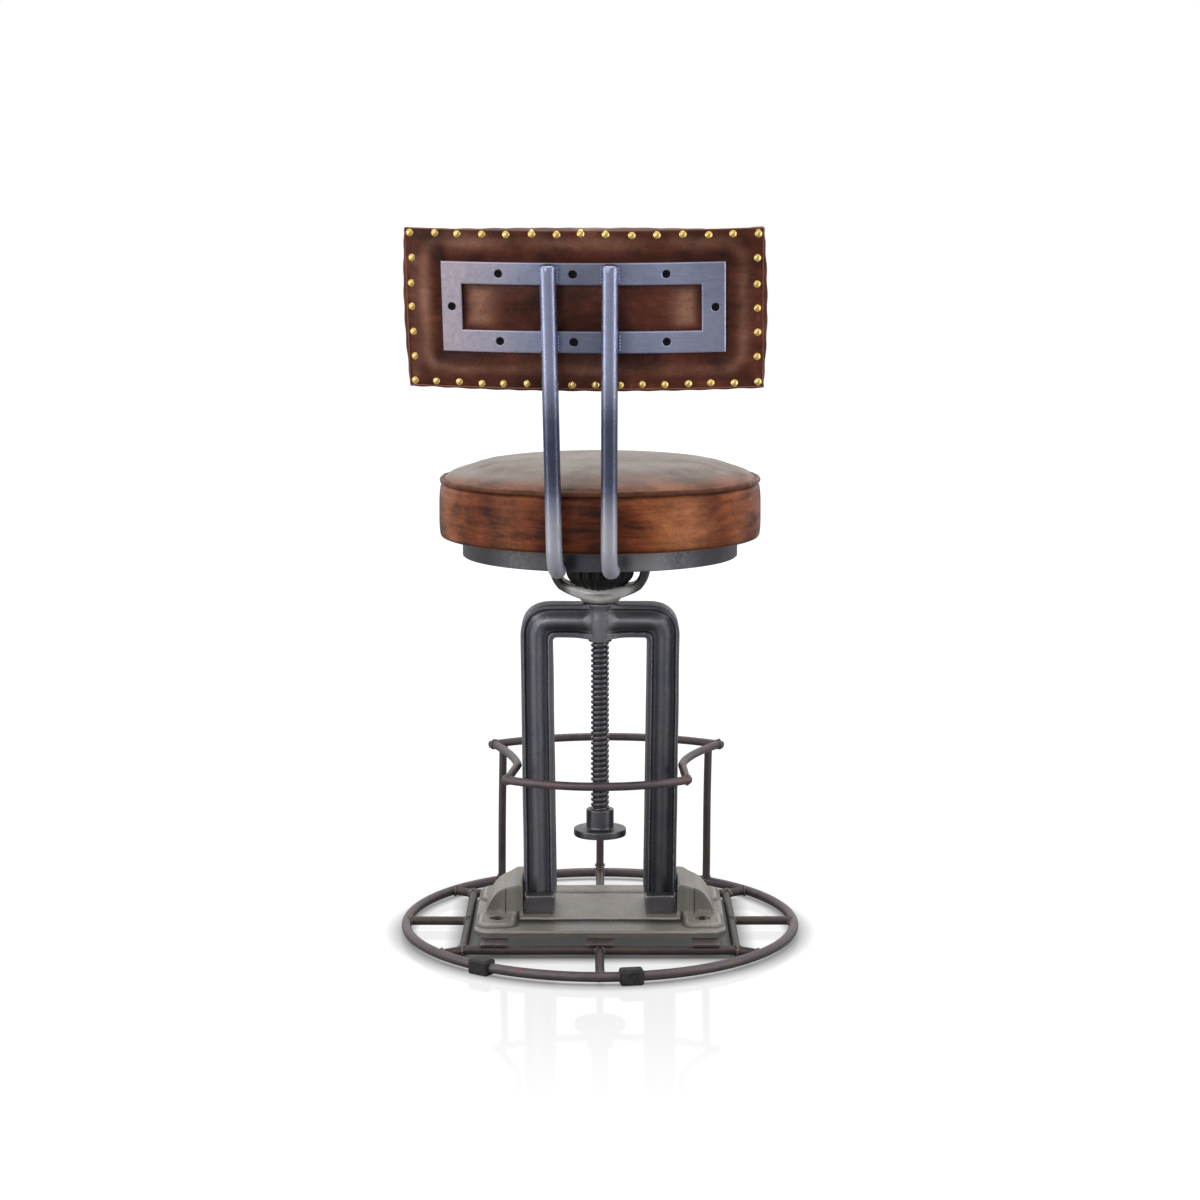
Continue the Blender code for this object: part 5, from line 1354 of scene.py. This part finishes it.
# Faded leather and painted sheen.
fade_and_sheen = times(tree, painted(tree, "fade_and_sheen"), ranged(tree, level, 0.3, 0.7, 0.8, 1.0))
skin = mixed(tree, fade_and_sheen, skin, given["Faded and sheen"])
skin = mixed(tree, times(tree, ranged(tree, grain, 0.35, 0.75), 0.22), skin, given["Dark"])
# Painted highlight on ridges and painted shade in creases.
skin = mixed(tree, times(tree, painted(tree, "wear_and_sheen"), 0.5), skin, given["Pale"])
skin = mixed(tree, times(tree, painted(tree, "grime_and_shade"), 0.6), skin, tone(26, 14, 11))
tree.links.new(skin, result["Colour"])
rough = plus(tree, given["Gloss"], ranged(tree, level, 0.3, 0.7, 0.1, -0.08))
rough = plus(tree, rough, times(tree, math(tree, "SUBTRACT", fine, 0.5), 0.2), clamp=True)
tree.links.new(rough, result["Roughness"])
bumps = math(tree, "SUBTRACT", times(tree, fine, 0.4), times(tree, grain, 0.6))
tree.links.new(plus(tree, bumps, times(tree, streak, 0.5)), result["Height"])


def leather(name, colour, dark, pale, blotch, grain, streak, gloss, depth=0.0005, faded_sheen=(150, 138, 126)):
    """Leather in one dye: the skin group with this piece's colours."""
    made, tree, inputs = new_material(name, specular=0.14)
    values = {"Colour": tone(*colour), "Dark": tone(*dark), "Pale": tone(*pale), "Faded and sheen": tone(*faded_sheen),
              "Blotch": blotch, "Grain": grain, "Streak": streak, "Gloss": gloss}
    hide = node(tree, "Group", values, node_tree=leather_skin).outputs
    finish(tree, inputs, hide["Colour"], hide["Roughness"], hide["Height"], depth)
    return made


seat_leather = leather("seat_leather", (140, 70, 42), (62, 30, 18), (204, 130, 84),
                       blotch=13, grain=520, streak=0.65, gloss=0.36, faded_sheen=(144, 134, 124))
back_leather = leather("back_leather", (112, 61, 47), (60, 32, 26), (178, 128, 106),
                       blotch=16, grain=560, streak=0.3, gloss=0.33)
welt_leather = leather("welt_leather", (122, 78, 56), (84, 48, 34), (156, 116, 92),
                       blotch=30, grain=700, streak=0.2, gloss=0.42, depth=0.0003)
print("leather with", len(leather_skin.nodes), "nodes")

# %% [markdown]
# The seat cushion is a drum of leather over foam: a crowned top, a welted seam, a side that bellies out a
# little and a hem pulled under the board. A turned profile gives the form, slightly slack, and a cloth
# simulation blows it up against its seam and hem, so the skin takes on the small unevenness of stuffed
# leather.

# %% Cushion simulation
def blown_up(mesh, held, cap, pressure=4.0, frames=20):
    """Runs Cloth with pressure and without gravity on a closed mesh whose held vertices are pinned, and moves
    each vertex by the result, but by no more than its cap."""
    start = read_all(mesh.vertices, "co", 3)
    skin = bpy.data.objects.new("skin", mesh)
    scene.collection.objects.link(skin)
    skin.vertex_groups.new(name="held").add(np.flatnonzero(held).tolist(), 1.0, "REPLACE")
    cloth = skin.modifiers.new("cloth", "CLOTH")
    cloth.settings.vertex_group_mass = "held"
    cloth.settings.use_pressure = True
    cloth.settings.uniform_pressure_force = pressure
    cloth.settings.effector_weights.gravity = 0
    cloth.settings.quality = 6
    cloth.collision_settings.use_collision = False
    cloth.point_cache.frame_end = frames
    for step in range(1, frames + 1):
        scene.frame_set(step)
    swollen = skin.evaluated_get(bpy.context.evaluated_depsgraph_get()).to_mesh()
    shift = read_all(swollen.vertices, "co", 3) - start
    scene.frame_set(1)
    bpy.data.objects.remove(skin)
    far = np.linalg.norm(shift, axis=1)
    shift *= np.minimum(1, cap / np.maximum(far, 1e-9))[:, None]
    put_places(mesh, start + shift)
    return float(np.linalg.norm(shift, axis=1).max())


print("simulation", "on")

# %% [markdown]
# The profile runs from the crown over the seam and down the side to the board. Rubbed patches, which are
# also painted highlights, and patches of painted shade are given by the angle round the seat, and painted
# shade lies under the welt. The top fades to grey, which is also a painted sheen, less so towards the
# back, where it stays brown.

# %% Seat cushion
SEAM, SEAM_Z, BOARD_Z = 0.1768, 0.5243, 0.4626
CROWN = 0.0252
SIDE_CORNERS = [
    (SEAM - 0.001, SEAM_Z, 0), (0.1772, SEAM_Z - 0.0030, 0.0008), (0.1800, SEAM_Z - 0.0058, 0.0020),
    (0.1816, SEAM_Z - 0.018, 0.008), (0.1818, SEAM_Z - 0.052, 0.008), (0.1806, SEAM_Z - 0.0624, 0.0024),
    (0.1780, SEAM_Z - 0.0645, 0.0020), (0.1730, SEAM_Z - 0.0632, 0.0020), (0.1690, BOARD_Z, 0.001)]
RUB_AND_SHEEN = [(0.95, -57, 10), (0.3, -118, 8), (0.5, -150, 12), (0.3, 60, 20), (0.4, 140, 15), (0.45, -28, 7)]
SHADED = [(0.55, -88, 7), (0.35, -127, 5), (0.3, -42, 4), (0.35, -166, 6), (0.4, 20, 20)]

rise = np.linspace(0, np.pi / 2, 34)
crown = np.stack([(SEAM - 0.001) * np.sin(rise), SEAM_Z + CROWN * np.cos(rise) ** 0.8], -1)
side = resampled(rounded(SIDE_CORNERS, 8)[1:], 40)
under = np.array([[0.1664, BOARD_Z], [0.1664, 0.4751], [0.0, 0.4751]])
cushion_mesh = closed_mesh("seat_cushion_skin", [turned(np.concatenate([crown, side, under]), 132)])
x, y, z = vertex_places(cushion_mesh).T
far = np.hypot(x, y)
held = (np.abs(z - SEAM_Z) < 0.0034) | (z < 0.4640) | ((z < 0.48) & (far < 0.174))
reach = blown_up(cushion_mesh, held, np.where(far < SEAM - 0.0005, 0.0016, 0.0014))
place = vertex_places(cushion_mesh)
x, y, z = place.T
far, angle = np.hypot(x, y), np.degrees(np.arctan2(y, x))


def patches(angle, *rows):
    """Patches round the cushion: the sum of share exp(-((angle - middle) / width)^2), in degrees."""
    return sum(share * hill(angle - middle, width) for share, middle, width in rows)


on_side = ramp(far, 0.16, 0.015)
brown = np.maximum(patches(angle, (1, -75, 45)), patches(angle, (0.8, -20, 30)))
top = ramp(far, 0.177, -0.014 - 0.042 * brown) * (z > SEAM_Z)
# Lighter patches round the side, rubbed leather and painted highlight both; a painted sheen greys the top.
write_value(cushion_mesh, "rub_and_sheen", 0.8 * patches(angle, *RUB_AND_SHEEN) * on_side)
write_value(cushion_mesh, "fade_and_sheen", 0.85 * top + 0.25 * ramp(z, SEAM_Z, 0.004))
put_places(cushion_mesh, on_seat(place))
cushion = finish_piece("seat_cushion_leather", cushion_mesh, "seat", seat_leather,
                       ["seat_cushion"])
# Painted shade under the welt and in patches round the side.
welt_shadow = hill(z - SEAM_Z + 0.0042, 0.0016)
raise_value(cushion_mesh, "grime_and_shade", patches(angle, *SHADED) * on_side, 0.8 * welt_shadow)
print("seat cushion moved by at most", round(reach * 1000, 1), "mm")

# %% [markdown]
# A welt runs round the seat's upper seam: a cord wrapped in a strip of the same leather. It is a tube on
# a circle that wavers a little, with a lapped joint on one side where the strip's ends meet.

# %% Seat welt
WELT_RADIUS, WELT_ROD = SEAM + 0.0012, 0.0031
turn = full_turn(320)
lap = 0.0007 * hill(turn - np.radians(340), 0.018)
radius = WELT_ROD + 0.00012 * np.sin(23 * turn) + 0.00012 * np.sin(41 * turn + 1) + lap
line = polar(WELT_RADIUS, turn, SEAM_Z - 0.0002 + 0.0003 * np.sin(3 * turn))
welt = moved([tube(line, radius, sides=12, closed=True)], on_seat)
piece("seat_welt", welt, "seat", welt_leather)

# %% [markdown]
# The back pad is leather over a board: thin at the ends and full in the middle in front, flat behind,
# where the steel frame presses it. Between the frame and the nails the leather swells into a soft ridge,
# and it pillows in the window. The nails hold it down, so their places come first.

# %% Nail places
BACK_WIDTH, BACK_HEIGHT = 0.382, 0.172
COVER_N = 0.0058
NAILS_UP, NAILS_LOW, NAILS_SIDE = 15, 16, 5
pick = np.random.default_rng(4)
inset_s, inset_h = BACK_WIDTH / 2 - 0.0085, BACK_HEIGHT / 2 - 0.0075
upper = np.stack([np.linspace(-inset_s, inset_s, NAILS_UP), np.full(NAILS_UP, inset_h)], -1)
lower = np.stack([np.linspace(-inset_s, inset_s, NAILS_LOW), np.full(NAILS_LOW, -inset_h)], -1)
side_h = np.linspace(-inset_h, inset_h, NAILS_SIDE + 2)[1:-1]
sides = [np.stack([np.full(NAILS_SIDE, sign * inset_s), side_h], -1) for sign in (-1, 1)]
nails = np.concatenate([upper, lower, *sides])
nails = nails + pick.normal(0, 0.0006, nails.shape)
print(len(nails), "nails")

# %% [markdown]
# The pad's form is a box lattice in the back's flat coordinates. The simulation swells it between the
# nails and the frame, and then it is bent with the back.

# %% Back pad
def pad_place(points):
    """The pad over the unit cube: x across, y from the rear face to the front, z up. The half width and half
    height puff out between the nails and round off towards the front; the thickness is crowned."""
    x, y, z = np.moveaxis(points, -1, 0)
    across, up = 2 * x - 1, 2 * z - 1
    rounding = 0.009 * y ** 3 + 0.0012 * (1 - y) ** 8
    puffs = 0.00035 * np.cos(2 * np.pi * 6 * (z - 1 / 12)) * (1 - np.abs(up) ** 6)
    half_width = BACK_WIDTH / 2 + 0.0008 + 0.0034 * (1 - up ** 2) + puffs - rounding
    half_height = BACK_HEIGHT / 2 - 0.0012 + 0.0003 * np.cos(2 * np.pi * 14 * (x - 1 / 28)) - rounding
    half_height = half_height + 0.0030 * np.clip(-up, 0, 1)
    thick = 0.0198 + 0.018 * (1 - across ** 2) + 0.006 * (1 - across ** 4) * (1 - up ** 4)
    return np.stack([across * half_width, COVER_N + thick * y, up * half_height], -1)


def ridge_share(s, h):
    """How full the ridge is: full at the left end, three fifths full at the right, uneven along the rest."""
    ends = ramp(s, -0.145, -0.015) + 0.6 * ramp(s, 0.145, 0.015)
    uneven_share = 0.42 + 0.16 * np.sin(47 * s + 1.1) + 0.14 * np.sin(83 * s + 30 * h + 2.3)
    return np.clip(np.maximum(uneven_share, ends * (0.8 + 0.2 * np.sin(70 * h + 0.6))), 0, 1)


def rear_form(s, h):
    """How far the rear leather stands out: a ridge between the frame and the nails, a pillow in the window,
    a dimple under each nail. Also the distances to the nearest nail, from the frame and into the window."""
    frame_gap = -box_distance(s, h - FRAME_UP, FRAME_X, FRAME_TALL, 0.002)
    nail_gap = np.minimum(inset_s - np.abs(s), inset_h - np.abs(h))
    share = np.clip(frame_gap / np.maximum(frame_gap + nail_gap, 1e-6), 0, 1)
    ridge = 0.0038 * ridge_share(s, h) * np.sin(np.pi * share) ** 0.9 * (frame_gap > 0) * (nail_gap > 0)
    window = box_distance(s - WINDOW_SHIFT, h - FRAME_UP, WINDOW_X, WINDOW_TALL, 0.001)
    pillow = 0.0032 * (1 - (1 - ramp(window, 0, 0.020)) ** 2)
    near = np.linalg.norm(np.stack([s, h], -1)[:, None] - nails[None], axis=-1).min(1)
    return ridge + pillow - 0.0012 * hill(near, 0.0045), near, frame_gap, window


lines = [np.linspace(0, 1, count) for count in (116, 8, 54)]
pad_mesh = closed_mesh("back_pad_skin", box_sides(lines, pad_place))
place = vertex_places(pad_mesh)
form, near, frame_gap, window = rear_form(place[:, 0], place[:, 2])
rear = place[:, 1] < COVER_N + 0.0004
place[:, 1] -= form * rear
put_places(pad_mesh, place)
pressed = rear & (frame_gap < 0.0015) & (window < 0.0015)
reach = blown_up(pad_mesh, pressed | (rear & (near < 0.005)), np.where(rear, 0.0016, 0.006))
place = vertex_places(pad_mesh)
s, n, h = place.T
place[:, 1] = np.where(rear, np.maximum(n, np.where(pressed, COVER_N, 0.0012)), n)
# Painted highlight along the ridge between the frame and the nails, and at both ends of the window.
ridge = hill(frame_gap - 0.019, 0.006) * rear * ridge_share(s, h)
ends = hill(np.abs(s) - 0.108, 0.014) * ramp(window, 0, 0.010) * rear
write_value(pad_mesh, "rub_and_sheen", 0.95 * ridge + ends)
# Painted shade in the middle of the window and where the frame presses the leather.
shaded = (0.45 * hill(s, 0.045) * (window > 0) + 0.5 * hill(frame_gap - 0.002, 0.005)) * rear
put_places(pad_mesh, on_back(place))
pad = finish_piece("back_pad_leather", pad_mesh, "seat", back_leather,
                   ["back_cushion", "back_cover"])
raise_value(pad_mesh, "grime_and_shade", shaded)
finer = pad.modifiers.new("finer", "SUBSURF")
finer.levels = 1
finer.render_levels = 1
print("back pad moved by at most", round(reach * 1000, 1), "mm")

# %% [markdown]
# The nails are brass domes, one object of 41 small heads, each at its own turn. A rolled hem shows as a
# thin light cord along the leather's rear edge.

# %% Nails and hem
brass_nail, tree, inputs = new_material("brass_nail", metallic=1.0)
spots = cloudy(tree, own_place(tree), 1 / 0.004, 3.0, 0.55)
skin = mixed(tree, ranged(tree, spots, 0.35, 0.7), tone(255, 228, 152), tone(232, 186, 94))
skin = mixed(tree, times(tree, painted(tree, "grime_and_shade"), 0.9), skin, tone(58, 36, 14))
finish(tree, inputs, skin, ranged(tree, spots, 0.3, 0.7, 0.16, 0.32), spots, 0.0001)

HEM_N = COVER_N + 0.0006
HEM_ROD = 0.0009
points, quads = crossed_head(0.0046, dome=0.0030, slot_width=0.00045, slot_reach=0.0017, slot_depth=0.0)
heads = []
for (s, h), twist in zip(nails, pick.uniform(0, np.pi, len(nails))):
    dome = np.stack([*spun(points[:, 0], points[:, 1], twist), points[:, 2]], -1)
    heads.append(across_back((dome, quads), s, h, HEM_N))
piece("back_nails", moved(heads, on_back), "seat", brass_nail)

edge = rectangle(BACK_WIDTH / 2 - 0.0030, BACK_HEIGHT / 2 - 0.0030, 0, 0, 120, 50)
hem_line = np.stack([edge[:, 0], np.full(len(edge), HEM_N), edge[:, 1]], -1)
forward = on_back(np.array([0, 1.0, 0])) - on_back(np.zeros(3))
hem = tube(on_back(uneven(hem_line, 0.06, 0.0003, 7)), HEM_ROD, aim=forward, sides=8, closed=True)
piece("back_hem", [hem], "seat", back_leather)

# %% [markdown]
# What is left of the measured model needs no new shape, only a finish: the plastic glides under the hoop,
# and the plywood boards inside the seat and the back.

# %% Plastic and plywood
glide_plastic, tree, inputs = new_material("glide_plastic", specular=0.4)
place = own_place(tree)
scuff = cloudy(tree, place, 1 / 0.006, 5.0, 0.65)
skin = mixed(tree, ranged(tree, scuff, 0.45, 0.75), tone(38, 36, 38), tone(72, 66, 64))
pebble = cloudy(tree, place, 1 / 0.0012, 3.0, 0.55)
finish(tree, inputs, skin, ranged(tree, scuff, 0.3, 0.7, 0.4, 0.65), pebble, 0.0002)

plywood, tree, inputs = new_material("plywood", specular=0.3)
grain = cloudy(tree, drawn_out(tree, own_place(tree), (18, 240, 500)), 1.0, 4.0, warp=0.4)
skin = mixed(tree, ranged(tree, grain, 0.3, 0.7), tone(150, 114, 76), tone(196, 162, 118))
finish(tree, inputs, skin, ranged(tree, grain, 0.3, 0.7, 0.6, 0.8), grain, 0.0003)

for name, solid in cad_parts.items():
    for part, material in (("glide", glide_plastic), ("board", plywood)):
        if part in name:
            solid.data.materials.clear()
            solid.data.materials.append(material)
print("glides and boards finished")

# %% [markdown]
# The last call brings the scene up to date.

# %% Update
bpy.context.view_layer.update()
